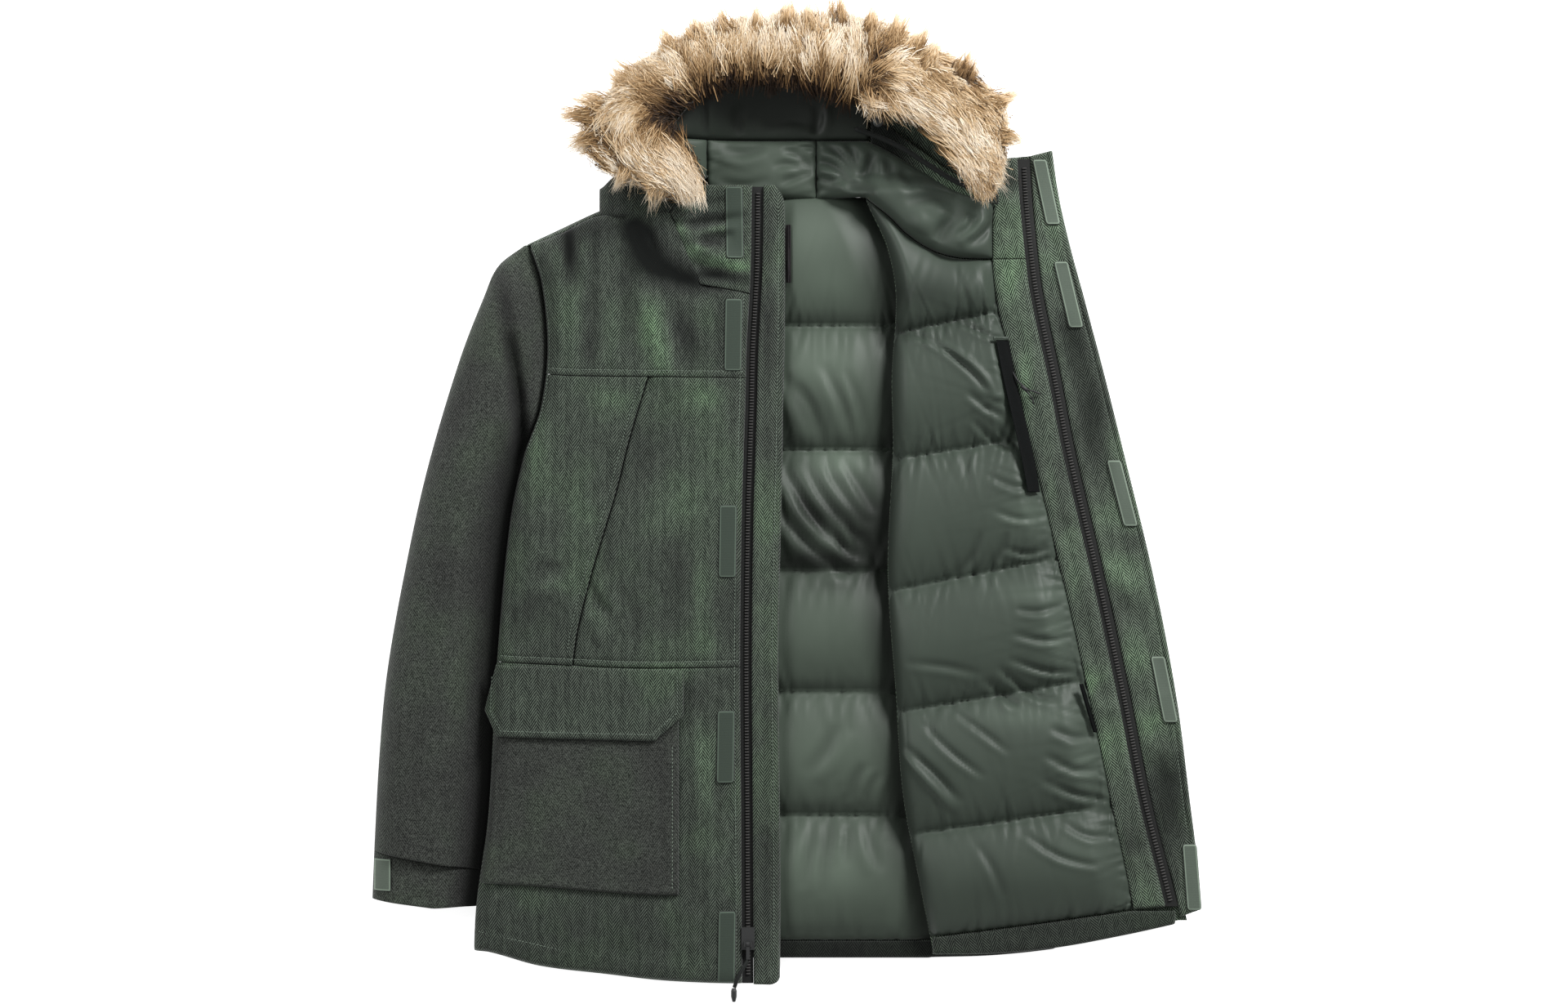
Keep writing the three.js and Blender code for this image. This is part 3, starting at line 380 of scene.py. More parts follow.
def spread(length, spacing):
    """Steps from 0 to 1 along an edge of that length, closer at both ends for the rolled rim."""
    ends = np.array(RIM_STEPS if length > 40 else RIM_STEPS[:5]) / length
    count = max(2, int(round((1 - 2 * ends[-1]) * length / spacing)))
    middle = np.linspace(ends[-1], 1 - ends[-1], count + 1)
    return np.concatenate([ends[:-1], middle, 1 - ends[:-1][::-1]])


def stitched_ridge(distance, high=0.9, deep=0.9):
    """The turning under a seam's edge swells it, and the topstitch draws a groove beyond."""
    return high * np.exp(-((distance - 3.2) / 2.4) ** 2) - deep * np.exp(-((distance - 6.4) / 0.9) ** 2)


SEAM = (3.0, 1.6)         # how far an edge sewn to another rolls in, and how far down
FREE = (5.0, 4.0)         # the same for a free edge
FLAT = (1.0, 0.0)


def panel(name, finish, *, left, right, low, high, top, edges=(SEAM,) * 4, spacing=3.0,
          size=None, folds=(), fine=None, base=None, shade=None):
    """One panel; edges are its left, right, low and high rolls, in millimetres. Its "rim" is
    the distance from its nearest edge, and its "shade" the painted shade in its colour, deepest in
    folds, with painted light where it falls below 0."""
    place = between(left, right, low, high)
    probe = np.array([0.0, 1.0, 0.5, 0.5]), np.array([0.5, 0.5, 0.0, 1.0])
    px, py, _ = place(*probe)
    width, length = size or (abs(px[1] - px[0]), abs(py[3] - py[2]))

    def shape(u, v):
        x, y, distances = place(u, v)
        creased = folded(x, y, folds)
        z = top(x, y) + creased
        if fine:
            z = z + fine(x, y)
        for distance, (radius, drop) in zip(distances, edges):
            z = z - drop * (1 - roll(distance, radius))
        # Painted shade in the colour: deepest in folds, with the panel's own painted shade or light added.
        deep = crease_shade(creased, 0.6)
        if shade:
            deep = np.clip(deep + shade(x, y), -1, 1)
        return x, y, z, np.minimum.reduce(distances), deep
    return grid(name, finish, spread(width, spacing), spread(length, spacing), shape, base=base)


def thicken(piece, thickness=CLOTH):
    wall = piece.modifiers.new("thickness", "SOLIDIFY")
    wall.thickness, wall.offset, wall.use_even_offset = thickness / 1000, -1, False


def on_jacket(piece, slot, *replaced):
    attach(piece, "jacket")
    if replaced:
        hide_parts(*replaced)
    return piece


def quilted(piece, replaced):
    """A padded panel of the lining, put on the jacket in place of its part."""
    on_jacket(piece, "lining", replaced)


TURNING, TURNED_SHARE = 0.02, 0.12       # both turnings of a cut: at most 20 mm, 12% of its side
SHORTEST = 0.0101                        # the shortest side of a cut, in metres


def sew_in(piece, *replaced, slot="shell", rests_on=()):
    """The piece lies on the jacket; its cut is its own area and a turning on every side."""
    size = np.ptp(points_of(piece.data)[:, :2], axis=0)
    area = sum(face.area for face in piece.data.polygons)
    turned = np.maximum(size + np.minimum(TURNING, TURNED_SHARE * size), SHORTEST)
    cut = area * min(1.3, turned.prod() / size.prod())
    filled = cut / turned.prod()
    if filled < 0.5:                       # a strip cut straight that lies aslant
        turned[np.argmin(turned)] *= filled / 0.8
    width, length = np.maximum(turned * max(1, math.sqrt(filled)), SHORTEST)
    on_jacket(piece, slot, *replaced)


def sewn(name, finish, *replaced, thick=CLOTH, slot="shell", rests_on=(), **cut):
    """A panel with its thickness, sewn to the jacket."""
    piece = panel(name, finish, **cut)
    thicken(piece, thick)
    sew_in(piece, *replaced, slot=slot, rests_on=rests_on)


# ------------------------------------------------------------------ the outer cloth
# A wool blend woven in herringbone: pale and dark threads run steeply up one rib and down the
# next, every 8 mm. The sleeves and the skirt pockets are cut from its plain heathered mate.

def wool(name, pale, dark, lean=0.0, herringbone=True):
    cloth = Finish(name, Roughness=0.92, **{"Sheen Weight": 0.12, "Sheen Roughness": 0.5,
                                            "Specular IOR Level": 0.18})
    turned = cloth.node("ShaderNodeVectorRotate", cloth.place, rotation_type="Z_AXIS",
                        sockets={"Angle": math.radians(lean)})
    x, y, _ = cloth.split(turned)
    yarn = cloth.noise(1.1, 1, (1, 0.4, 1))
    cross = cloth.noise(0.9, 1, (0.35, 1.5, 1))
    slub = cloth.noise(0.3, 2, (1.8, 0.3, 1))
    rib = (x + cloth.noise(0.04) * 2.5) / 13.4
    zigzag = (rib.math("FRACT") - 0.5).math("ABSOLUTE") * 2
    broken = (rib * 2).math("FLOOR").math("MODULO", 2) * 0.5
    phase = (y + zigzag * 9.8) / 3.5 + broken
    thread = ((phase * (2 * math.pi)).math("SINE") * 0.5 + 0.5) ** 2.4
    if herringbone:
        weave = thread * (yarn * 1.8 + 0.06) * (broken * 0.36 + 0.91) + (cross - 0.5) * 0.4 + (slub
                - 0.5) * 0.6 + 0.02
    else:
        weave = thread * (yarn * 0.6 + 0.1) + (yarn * 0.5 + cross * 0.5 - 0.5) * 1.7 + (slub
                - 0.5) * 0.25 + 0.16
    weave = weave.math("MINIMUM", 1.0).math("MAXIMUM", 0.0)
    colour = cloth.mix(weave, dark, pale)
    broad = cloth.node("ShaderNodeValToRGB", cloth.noise(0.016, 3), stops=[
        (0.34, (0.84, 0.81, 0.84)), (0.50, (0.96, 0.96, 0.96)), (0.66, (1.08, 1.18, 1.05))])
    colour = cloth.mix(1.0, colour, broad, "MULTIPLY")
    # The mesh's "shade" mark paints light and shade into the colour: below 0 a painted highlight towards a
    # brighter green, above 0 painted shade that greys and darkens the cloth.
    shade = cloth.mark("shade")
    painted_highlight = cloth.mix(1.0, colour, (2.1, 2.6, 2.0), "MULTIPLY")
    colour = cloth.mix((shade * -1).math("MAXIMUM", 0.0), colour, painted_highlight)
    shaded_grey = cloth.mix(1.0, colour, (0.99, 0.92, 1.0), "MULTIPLY")
    colour = cloth.mix((shade * 2).math("MAXIMUM", 0.0).math("MINIMUM", 1.0), colour, shaded_grey)
    cloth.feed("Base Color", cloth.mix(shade.math("MAXIMUM", 0.0), colour, toned(dark, 0.35)))
    cloth.bump(weave, 0.25, 0.7)
    return cloth


shell = wool("herringbone wool", (0.178, 0.220, 0.171), (0.007, 0.010, 0.008))
# The same herringbone with painted light: lighter all over on the opened front, whose weave runs aslant.
shell_open_painted_lighter = wool("herringbone wool on the opened front", (0.218, 0.277, 0.208), (0.009, 0.014, 0.010),
                  lean=-13)
heather = wool("heathered wool", (0.128, 0.142, 0.123), (0.010, 0.012, 0.010), herringbone=False)


def satin(name, colour, dark):
    """A light nylon taffeta: a smooth, faintly shiny cloth."""
    cloth = Finish(name, Roughness=0.5,
                   **{"Sheen Weight": 0.08, "Sheen Roughness": 0.4, "Specular IOR Level": 0.34})
    threads = cloth.noise(2.4, 2)
    uneven = cloth.noise(0.02, 2)
    base = cloth.mix((uneven - 0.3) * 1.6, dark, colour)
    # The "shade" mark paints light and shade into the colour: below 0 a painted highlight, above 0 painted
    # shade.
    shade = cloth.mark("shade")
    base = cloth.mix((shade * -1).math("MAXIMUM", 0.0), base, toned(colour, 2.1))
    cloth.feed("Base Color", cloth.mix(shade.math("MAXIMUM", 0.0), base, toned(dark, 0.22)))
    cloth.feed("Roughness", threads * 0.14 + 0.46)
    cloth.bump(threads, 0.05, 0.5)
    return cloth


lining = satin("lining taffeta", (0.074, 0.096, 0.074), (0.060, 0.079, 0.060))
# The same taffeta with painted shade: darker all over on the opened front, which faces away from the light.
lining_open_painted_darker = satin("lining taffeta of the opened front", (0.058, 0.076, 0.059), (0.049, 0.065, 0.050))


# ------------------------------------------------------------------ back
# The back of the body: one layer of wool, face down on the table, with a deep hem turned up
# inside. Its yoke's edge rolls over the right shoulder and shows beyond the front's seam.

BACK_CENTRE = 32
side = column((380, -222), (366, -222), (322, -218), (285, -207), (220, -201), (160, -208),
              (115, -224), (48, -238), (-80, -250), (-240, -259), (-330, -271), (-410, -274))
shoulder_seam = column((-220, 320), (-192, 330), (-160, 346), (-144, 350), (-80, 352))
shoulder = column((-222, 322), (-192, 336), (-160, 351), (-144, 358))
hem_right = column((-274, -373), (-256, -374), (-208, -387), (-144, -395), (-80, -402), (28, -406))
left_hem = column((177, -376), (240, -374), (304, -367), (368, -355), (418, -344))
NECK_Y, HEM_Y = 370, -382
SHOULDER_Y, COLLAR_SEAM_Y = 352, 281     # where the front's neckline starts, and where it levels out


def mirrored(x):
    return 2 * BACK_CENTRE - x


def neckline(x):
    beside = mix(SHOULDER_Y, COLLAR_SEAM_Y, (x + 80) / 30)
    below = mix(COLLAR_SEAM_Y, 272, (x + 50) / 48)
    return np.where(x < -80, shoulder_seam(x), np.where(x < -50, beside, below))


def back_top(x):
    from_centre = BACK_CENTRE - np.abs(x - BACK_CENTRE)
    return np.where(from_centre < -144, shoulder(from_centre) - 3,
                    mix(355, NECK_Y - 0.5, ease((from_centre + 144) / 70)))


def back_hem_line(x):
    """The back's hem, kept behind the fronts' hems at both ends."""
    return np.where(x < 28, np.maximum(HEM_Y, hem_right(x) + 2), np.where(x > 177, left_hem(x) - 5.5, HEM_Y))


sewn("back", shell, "back_shell", thick=1.7, left=lambda y: side(y) + 2.8,
     right=lambda y: mirrored(side(y)) - 2.8, low=lambda x: back_hem_line(x) + 1.5, high=back_top,
     top=flat_at(1.9), edges=(FLAT,) * 4, spacing=12)

sewn("back_hem_cloth", shell, "back_hem", left=lambda y: side(y) + 40, right=300, low=back_hem_line,
     high=lambda x: back_hem_line(x) + 17, size=(520, 17), spacing=3, top=flat_at(10.5),
     edges=(FREE, FREE, (4, 5), SEAM), shade=flat_at(0.85))

sewn("back_yoke_cloth", shell, "back_yoke", left=-221, right=-145, low=lambda x: neckline(x) + 0.6,
     high=lambda x: shoulder(x) + 0.4, size=(78, 12), spacing=2.5,
     top=lambda x, y: mix(23, 17, (y - neckline(x)) / 12), edges=(SEAM, SEAM, SEAM, (7, 13)))


# ------------------------------------------------------------------ lining of the back
# Taffeta quilted over down in six level baffles. Each puffs up between its seams, and gathers
# run out of the seams because the cloth is fuller than the line of stitches.

BACK_CREST, BACK_SEAM, BACK_PUFF = 21, 6.5, 5.5
valley = column((412, 106), (368, 112), (320, 133), (272, 142), (192, 138), (120, 139), (0, 134), (-120, 142),
                (-220, 149), (-310, 166), (-380, 180))
BACK_SEAMS = [-365, -241.6, -120, 0, 120, 242.4, NECK_Y]


def baffle(t):
    return np.sin(np.pi * np.clip(t, 0, 1)) ** 0.62


def back_lining_edge(y):
    return side(np.minimum(y, 250)) + 30 + 0.95 * np.maximum(0, y - 250)


def gathers(x, y, seam_y, left, right, count, seed, reach, wide, deep=1.6):
    """Short gathers that run out of a seam on both sides, each with a size of its own."""
    chance = np.random.default_rng(seed)
    lift = np.zeros(x.shape)
    for i in range(count):
        at = mix(left, right, (i + chance.uniform(0.1, 0.9)) / count)
        for way in (-1, 1):
            length = reach * chance.uniform(0.35, 1.5)
            width = wide * chance.uniform(0.5, 1.4)
            depth = deep * chance.uniform(0.3, 1.4)
            lean = chance.uniform(-0.45, 0.45)
            away = (y - seam_y(x)) * way
            beside = x - at - lean * away * way
            strength = np.exp(-np.maximum(away, 0) / length) * (away > 0)
            lift += depth * strength * (0.8 * np.exp(-((beside - 1.5 * width) / width) ** 2)
                                        - np.exp(-(beside / width) ** 2))
    return lift


BACK_FOLDS = [
    (-5, 8, 3, (34, 196), (52, 160), (66, 128)),
    (-3.5, 5, 2.5, (46, 186), (62, 158), (72, 124)),
    (-3, 6, 2.5, (70, 206), (88, 168), (102, 126)),
    (-2.5, 5, 2, (92, 200), (108, 160), (116, 124)),
    (-3.4, 6, 3, (64, 40), (78, 22), (88, 2)),
    (-3.0, 5, 3, (76, 56), (90, 28), (96, 2)),
    (-3.2, 5, 2.4, (92, 60), (102, 30), (112, 2)),
    (-3.0, 6, 3, (106, 42), (118, 18), (124, 2)),
    (-5.5, 7.2, 4, (30, 120), (52, 70), (94, 26), (128, 6)),
    (-4.5, 7, 4, (36, 98), (56, 56), (88, 26), (118, 6)),
    (-5.0, 6.4, 4.5, (48, 114), (74, 70), (104, 34), (126, 14)),
    (-4, 7, 3.5, (70, 114), (92, 78), (118, 42)),
    (-4, 6, 3.5, (90, 114), (104, 86), (124, 56)),
    (-6, 7.2, 5, (24, 74), (46, 40), (74, 14), (100, -4)),
    (-3.5, 8, 3, (54, -200), (72, -176), (84, -150)),
    (-3.2, 6, 3, (92, -236), (102, -206), (112, -188)),
    (-3.0, 5, 2.5, (110, -238), (116, -214), (124, -198)),
    (-3.6, 7, 2.6, (66, -242), (58, -276), (48, -312)),
    (-3.4, 6, 3, (78, -242), (72, -280), (68, -320)),
    (-2.6, 5, 2.2, (96, -242), (94, -266), (92, -290)),
    (-3.0, 6, 2.6, (112, -242), (118, -270), (126, -296)),
]


def back_lining_height(x, y):
    band = np.clip(np.searchsorted(BACK_SEAMS, y, side="right") - 1, 0, 5)
    seams = np.array(BACK_SEAMS)
    t = (y - seams[band]) / (seams[band + 1] - seams[band])
    inward = np.minimum(x - back_lining_edge(y), mirrored(back_lining_edge(y)) - x)
    free = ease((x - 30) / 14) * ease((valley(y) - 16 - x) / 26)
    z = mix(BACK_SEAM, BACK_CREST + BACK_PUFF * free, baffle(t) * ease(inward / 40))
    z -= 5 * np.exp(-(np.maximum(valley(y) - x, 0) / 12) ** 2) * ease((x - 40) / 30)
    for i, seam in enumerate(BACK_SEAMS[:-1]):
        z += gathers(x, y, flat_at(seam), 24, 165, 26, 40 + i, reach=20, wide=2.7)
    return z - 1.5


# Patches of painted shade (above 0) and painted light (below 0) on the lining of the back.
BACK_PAINTED_SHADING = [
    (60, 330, 30, 30, -0.30), (70, 205, 44, 30, -0.36), (88, 106, 26, 14, -0.55), (70, -56, 34, 26, -0.12),
    (76, 284, 34, 22, -0.24), (80, -300, 44, 26, -0.32), (82, 58, 34, 18, 0.55), (70, 12, 44, 14, 0.66),
    (80, -14, 36, 9, 0.36),
    (76, -180, 50, 36, -0.30), (45, -275, 14, 32, -0.26), (84, -285, 22, 22, -0.22), (36, 144, 12, 24, 0.55),
    (44, 48, 26, 42, 0.50), (112, 36, 22, 40, 0.62), (70, 8, 60, 8, 0.4), (70, 128, 60, 7, 0.36),
    (70, 250, 60, 6, 0.36), (60, -112, 60, 6, 0.4), (60, -232, 60, 6, 0.36), (70, -352, 70, 7, 0.3),
    (122, -60, 12, 50, 0.3), (116, 290, 12, 44, 0.4),
]


def back_shade(x, y):
    into_valley = np.exp(-(np.maximum(valley(y) - x, 0) / 17) ** 1.6) * ease((x - 60) / 30)
    return 0.92 * into_valley + painted_shading(x, y, *BACK_PAINTED_SHADING)


back_lining = panel("back_quilt", lining, shade=back_shade, left=back_lining_edge,
                    right=lambda y: mirrored(back_lining_edge(y)), low=-364.6, high=NECK_Y - 0.4,
                    top=back_lining_height, folds=BACK_FOLDS, spacing=3.4,
                    edges=((4, 2), (4, 2), (3, 2), (3, 2)), size=(450, 735), base=lambda x, y: 2.6)
quilted(back_lining, "back_lining")


# ------------------------------------------------------------------ sleeves
# Each sleeve is a tube of the heathered cloth, padded inside and pressed flat by its own
# weight. A seam joins it to a cuff, whose hook tab closes it on the outer side.

sleeve_outer = column((322, -223), (302, -249), (270, -264), (208, -288), (100, -320), (0, -342),
                      (-100, -359.5), (-180, -367), (-272, -372), (-322, -374))
flap_edge = column((412, 296), (368, 302), (320, 312), (272, 325), (192, 346), (120, 364), (0, 393),
                   (-120, 416), (-220, 429), (-310, 439), (-380, 437))
SLEEVE_HEAD, ARM_EDGE = 321.5, 13        # the sleeve's upper end, and how high its pressed edges lie
TUCKED = 2.0              # how far a sleeve's seam edge lies in under the body's edge


def sleeve_inner(y):
    return side(y) - 0.6 + TUCKED


def cuff_seam(x):
    return ramp(x, -372, -266, -274, -294)


def cuff_end(x):
    return ramp(x, -372, -312, -322, -330)


def arm_height(y, across, width, crown):
    """Height over a sleeve: `across` runs from its outer edge (0) to the body (1)."""
    inner = np.maximum(0, (1 - across) * width - TUCKED)
    fall = 0.16 * roll(inner, 8) + 0.84 * ease((inner - 2) / 40)
    fall = mix(fall, 0.40 * roll(inner, 3) + 0.60 * ease(inner / 34), ease((y - 120) / 40))
    return mix(ARM_EDGE, mix(crown * 0.72, crown, ease((SLEEVE_HEAD - y) / 60)),
               roll(across * width, 34) * fall)


ARM_FOLDS = [
    (-7, 9, 0, (-250, 300), (-245, 276), (-240, 250), (-236, 224), (-232, 196)),
    (-17, 7, 2, (-238, 236), (-232, 200), (-229, 170), (-228, 140), (-229, 100)),
    (-2.4, 13, 1.6, (-262, 250), (-276, 190), (-290, 130)),
    (2.6, 15, 0, (-258, 196), (-268, 130), (-284, 60)),
    (-2.2, 12, 1.4, (-300, 60), (-306, -10), (-318, -90)),
    (2.4, 16, 0, (-276, 20), (-284, -60), (-296, -150)),
    (-3, 9, 1.5, (-262, 60), (-272, 10), (-274, -60)),
    (-2.0, 10, 1.2, (-322, -120), (-330, -180), (-336, -240)),
    (1.6, 14, 0, (-344, -60), (-350, -140), (-352, -230)),
    (-1.6, 9, 1.0, (-292, -170), (-300, -220), (-304, -268)),
]


def tube(name, finish, outer, inner, low, high, crown, length, hand=1, folds=(), spacing=4.6):
    """A sleeve's tube: up over its top from the outer edge, and back under it."""
    half = np.array([0, 0.006, 0.016, 0.03, 0.055, 0.085, 0.12, *np.linspace(0.16, 0.84, 22),
                     0.88, 0.915, 0.945, 0.97, 0.985, 1]) / 2
    around = np.concatenate([half, 1 - half[-2::-1]])

    def shape(u, v):
        across = np.where(u <= 0.5, 2 * u, 2 - 2 * u)
        x = np.full(u.shape, 0.5 * (outer(0) + inner(0)))
        for _ in range(8):
            y = mix(low(x), high(x), v)
            x = mix(outer(y), inner(y), across)
        width = np.abs(outer(y) - inner(y))
        creased = folded(x, y, folds)
        over = arm_height(y, across, width, crown) + creased * ease(across / 0.1) * ease((1 - across) / 0.06)
        under = ARM_EDGE * (1 - roll(np.minimum(across, 1 - across) * width, 12)) + 0.2
        ends = np.minimum(y - low(x), high(x) - y)
        over = over - 1.5 * (1 - roll(ends, 3))
        z = np.where(u <= 0.5, np.maximum(over, under), under)
        shade = crease_shade(creased, 0.75)
        shade += 0.95 * (1 - ease(((1 - across) * width - 5) / 30)) * ease((165 - y) / 50)
        return x, y, z, np.where(u <= 0.5, ends, 30), np.clip(shade, 0, 0.95) * (u <= 0.5)
    piece = grid(name, finish, around, spread(length, spacing), shape, closed=True)
    if hand < 0:
        reform(piece.data, lambda form: bmesh.ops.reverse_faces(form, faces=form.faces))
    thicken(piece)
    return piece


sleeve_right = tube("sleeve_right", heather, sleeve_outer, sleeve_inner, lambda x: cuff_seam(x) + 0.15,
                    flat_at(SLEEVE_HEAD), 45, 600, folds=ARM_FOLDS)
sew_in(sleeve_right, "sleeve_right_upper", "sleeve_right_under", slot="sleeve_shell")
cuff_right = tube("cuff_right", heather, sleeve_outer, sleeve_inner, cuff_end, lambda x: cuff_seam(x) - 0.15,
                  36, 45, spacing=2.6)
sew_in(cuff_right, "cuff_right_upper", "cuff_right_under", slot="sleeve_shell")


def left_outer(y):
    return np.minimum(mirrored(sleeve_outer(y)), flap_edge(y) - 7)


def left_inner(y):
    return mirrored(sleeve_inner(y))


sleeve_left = tube("sleeve_left", heather, left_outer, left_inner, lambda x: cuff_seam(mirrored(x)) + 0.15,
                   flat_at(SLEEVE_HEAD), 33, 600, hand=-1, spacing=14)
sew_in(sleeve_left, "sleeve_left_upper", "sleeve_left_under", slot="sleeve_shell")
cuff_left = tube("cuff_left", heather, left_outer, left_inner, lambda x: cuff_end(mirrored(x)),
                 lambda x: cuff_seam(mirrored(x)) - 0.15, 24, 45, hand=-1, spacing=6)
sew_in(cuff_left, "cuff_left_upper", "cuff_left_under", slot="sleeve_shell")


# ------------------------------------------------------------------ tabs
# Each closing tab is a strip of hook or loop tape with rounded corners, its pile cut short,
# held down by a satin stitch round its edge.

def tape_finish(name, pile, border):
    tape = Finish(name, Roughness=0.75, **{"Sheen Weight": 0.15, "Specular IOR Level": 0.2})
    _, y, _ = tape.split()
    ribs = ((y + tape.noise(0.2) * 1.2) * (2 * math.pi / 1.5)).math("SINE") * 0.5 + 0.5
    fuzz = tape.noise(1.6, 2)
    rim = tape.mark("rim")
    dark = toned(pile, 0.62)
    colour = tape.mix(fuzz * 0.9 + ribs * 0.25 - 0.1, dark, pile)
    colour = tape.mix(rim < 1.9, colour, border)
    tape.feed("Base Color", tape.mix(rim < 0.7, colour, toned(pile, 0.3)))
    tape.bump(fuzz + ribs * 0.4, 0.15, 0.6)
    return tape


hook_tape = tape_finish("hook tape", (0.130, 0.164, 0.130), (0.235, 0.295, 0.232))
loop_tape = tape_finish("loop tape", (0.054, 0.074, 0.057), (0.098, 0.132, 0.102))


TAPE_THICK = 1.8


def tab(name, finish, x, y, lean, width, length, level):
    """A strip about (x, y); its upper end leans `lean` to the left of its lower one."""
    def middle(at):
        return x - lean * (at - y) / length

    def half(at):
        from_end = np.maximum(0, length / 2 - np.abs(at - y))
        return width / 2 - 3.5 * (1 - roll(from_end, 3.5))
    piece = panel(name, finish, left=lambda at: middle(at) - half(at), right=lambda at: middle(at) + half(at),
                  low=y - length / 2, high=y + length / 2, size=(width, length), spacing=2.1,
                  top=lambda px, py: level(px, py) + TAPE_THICK - 0.5, edges=((1.2, TAPE_THICK),) * 4)
    thicken(piece, 0.6)
    return piece


def arm_level(x, y):
    across = (x - sleeve_outer(y)) / (sleeve_inner(y) - sleeve_outer(y))
    return arm_height(y, across, np.abs(sleeve_outer(y) - sleeve_inner(y)), 36) + LAY_GAP


sewn("cuff_tab", hook_tape, "cuff_tab_right", thick=1.2, slot="tab", left=-371.5, right=-353, low=-313,
     high=-281, top=lambda x, y: arm_level(x, y) + 1.6, edges=((1, 1),) * 4, spacing=2)


# ------------------------------------------------------------------ closed right front
# Four panels of herringbone: the yoke, the side and front panels with the slanted hand-warmer
# pocket between them, and the skirt. Each seam is turned up and topstitched 6 mm above.

FRONT_UNDER, FRONT_TOP, TAPE_HALF = BACK_CREST + 0.8, 41, 6
right_teeth = column((380, 7), (366, 6.5), (322, 6), (285, 5), (220, 1.5), (160, 0), (115, -1.5), (48, -3.5),
                     (-80, -5), (-240, -4), (-330, -3.5), (-410, -3))
right_edge = column((380, 24), (366, 31.5), (322, 33), (285, 33), (220, 32.5), (160, 31), (115, 30.5),
                    (48, 29), (-80, 26.5), (-240, 28), (-330, 28.5), (-410, 28))
yoke_seam = column((-202, 194), (-176, 192), (-2, 190))
waist_seam = column((-251, -88), (-184, -91), (-112, -94), (-10, -93))
slant_pocket = column((192, -101), (128, -120), (80, -132), (0, -156), (-56, -170), (-90, -175))


def tape_left(y):
    return right_teeth(y) - TAPE_HALF


def right_front_top(x, y):
    below = neckline(x) - y + 3 * np.maximum(0, x + 125)
    side_roll = roll(x - side(y), 26)
    hem_roll = mix(0.55, 1, roll(y - hem_right(x), 16))
    shoulder_roll = mix(0.25, 1, roll(below, 44))
    zip_roll = mix(0.55, 1, roll(tape_left(y) - x, 34))
    return mix(23, FRONT_TOP, side_roll * hem_roll * shoulder_roll * zip_roll)


# Soft folds: first the shoulder and chest, then round the pocket, then the skirt.
RIGHT_FOLDS = [
    (-5.0, 8, 1, (-184, 346), (-178, 318), (-173, 268)),
    (-2.8, 6, 0, (-160, 346), (-158, 320), (-154, 288)),
    (2.4, 9, 0, (-193, 316), (-190, 270), (-186, 214)),
    (-3.6, 10, 0, (-159, 296), (-157, 248), (-158, 196)),
    (2.6, 11, 0, (-143, 306), (-140, 250), (-141, 200)),
    (-3.4, 11, 0, (-122, 330), (-126, 270), (-122, 208)),
    (5.2, 12, 0, (-112, 290), (-98, 246), (-82, 196), (-76, 168)),
    (-5.0, 12, 0, (-78, 262), (-62, 224), (-52, 186)),
    (-7.0, 15, 0, (-116, 352), (-104, 318), (-80, 288)),
    (-3.0, 3.5, 1.5, (-102, 342), (-97, 326), (-90, 308)),
    (-6.0, 11, 0, (-88, 298), (-58, 282), (-22, 280)),
    (-2.0, 3, 1.0, (-52, 281), (-32, 276), (-8, 272)),
    (2.0, 12, 0, (-150, 186), (-142, 150), (-146, 112)),
    (1.8, 12, 0, (-52, 186), (-58, 150), (-50, 112)),
    (-2.0, 12, 0, (-84, 168), (-88, 120), (-80, 66)),
    (2.6, 13, 0, (-44, 96), (-50, 44), (-56, -30), (-52, -84)),
    (-2.4, 12, 0, (-76, 40), (-82, -8), (-84, -70)),
    (2.0, 12, 0, (-196, 120), (-206, 60), (-214, 0)),
    (-1.8, 12, 0, (-176, 150), (-186, 90), (-196, 20)),
    (3.4, 7, 0, (-152, -8), (-142, -24), (-128, -44)),
    (3.4, 7, 0, (-160, -36), (-150, -58), (-136, -86)),
    (-4.6, 6, 0, (-158, -8), (-150, -28), (-138, -48)),
    (-2.6, 8, 0, (-132, -14), (-116, -40), (-108, -78)),
    (3.0, 11, 0, (-212, -14), (-196, -18), (-178, -24)),
    (-2.0, 9, 0, (-216, 4), (-200, 2), (-182, 0)),
    (-2.4, 7, 0, (-236, -34), (-230, -56), (-232, -80)),
    (-1.5, 3, 0.8, (-212, 2), (-220, -36), (-227, -82)),
    (3.2, 10, 0, (-60, -100), (-56, -150), (-52, -200), (-40, -240), (-18, -262)),
    (-3.0, 9, 0, (-36, -196), (-34, -240), (-30, -280)),
    (2.8, 9, 0, (-44, -262), (-38, -300), (-42, -352)),
    (-2.6, 8, 0, (-62, -236), (-60, -280), (-58, -330)),
    (-2.0, 7, 0, (-30, -300), (-22, -340), (-26, -384)),
]

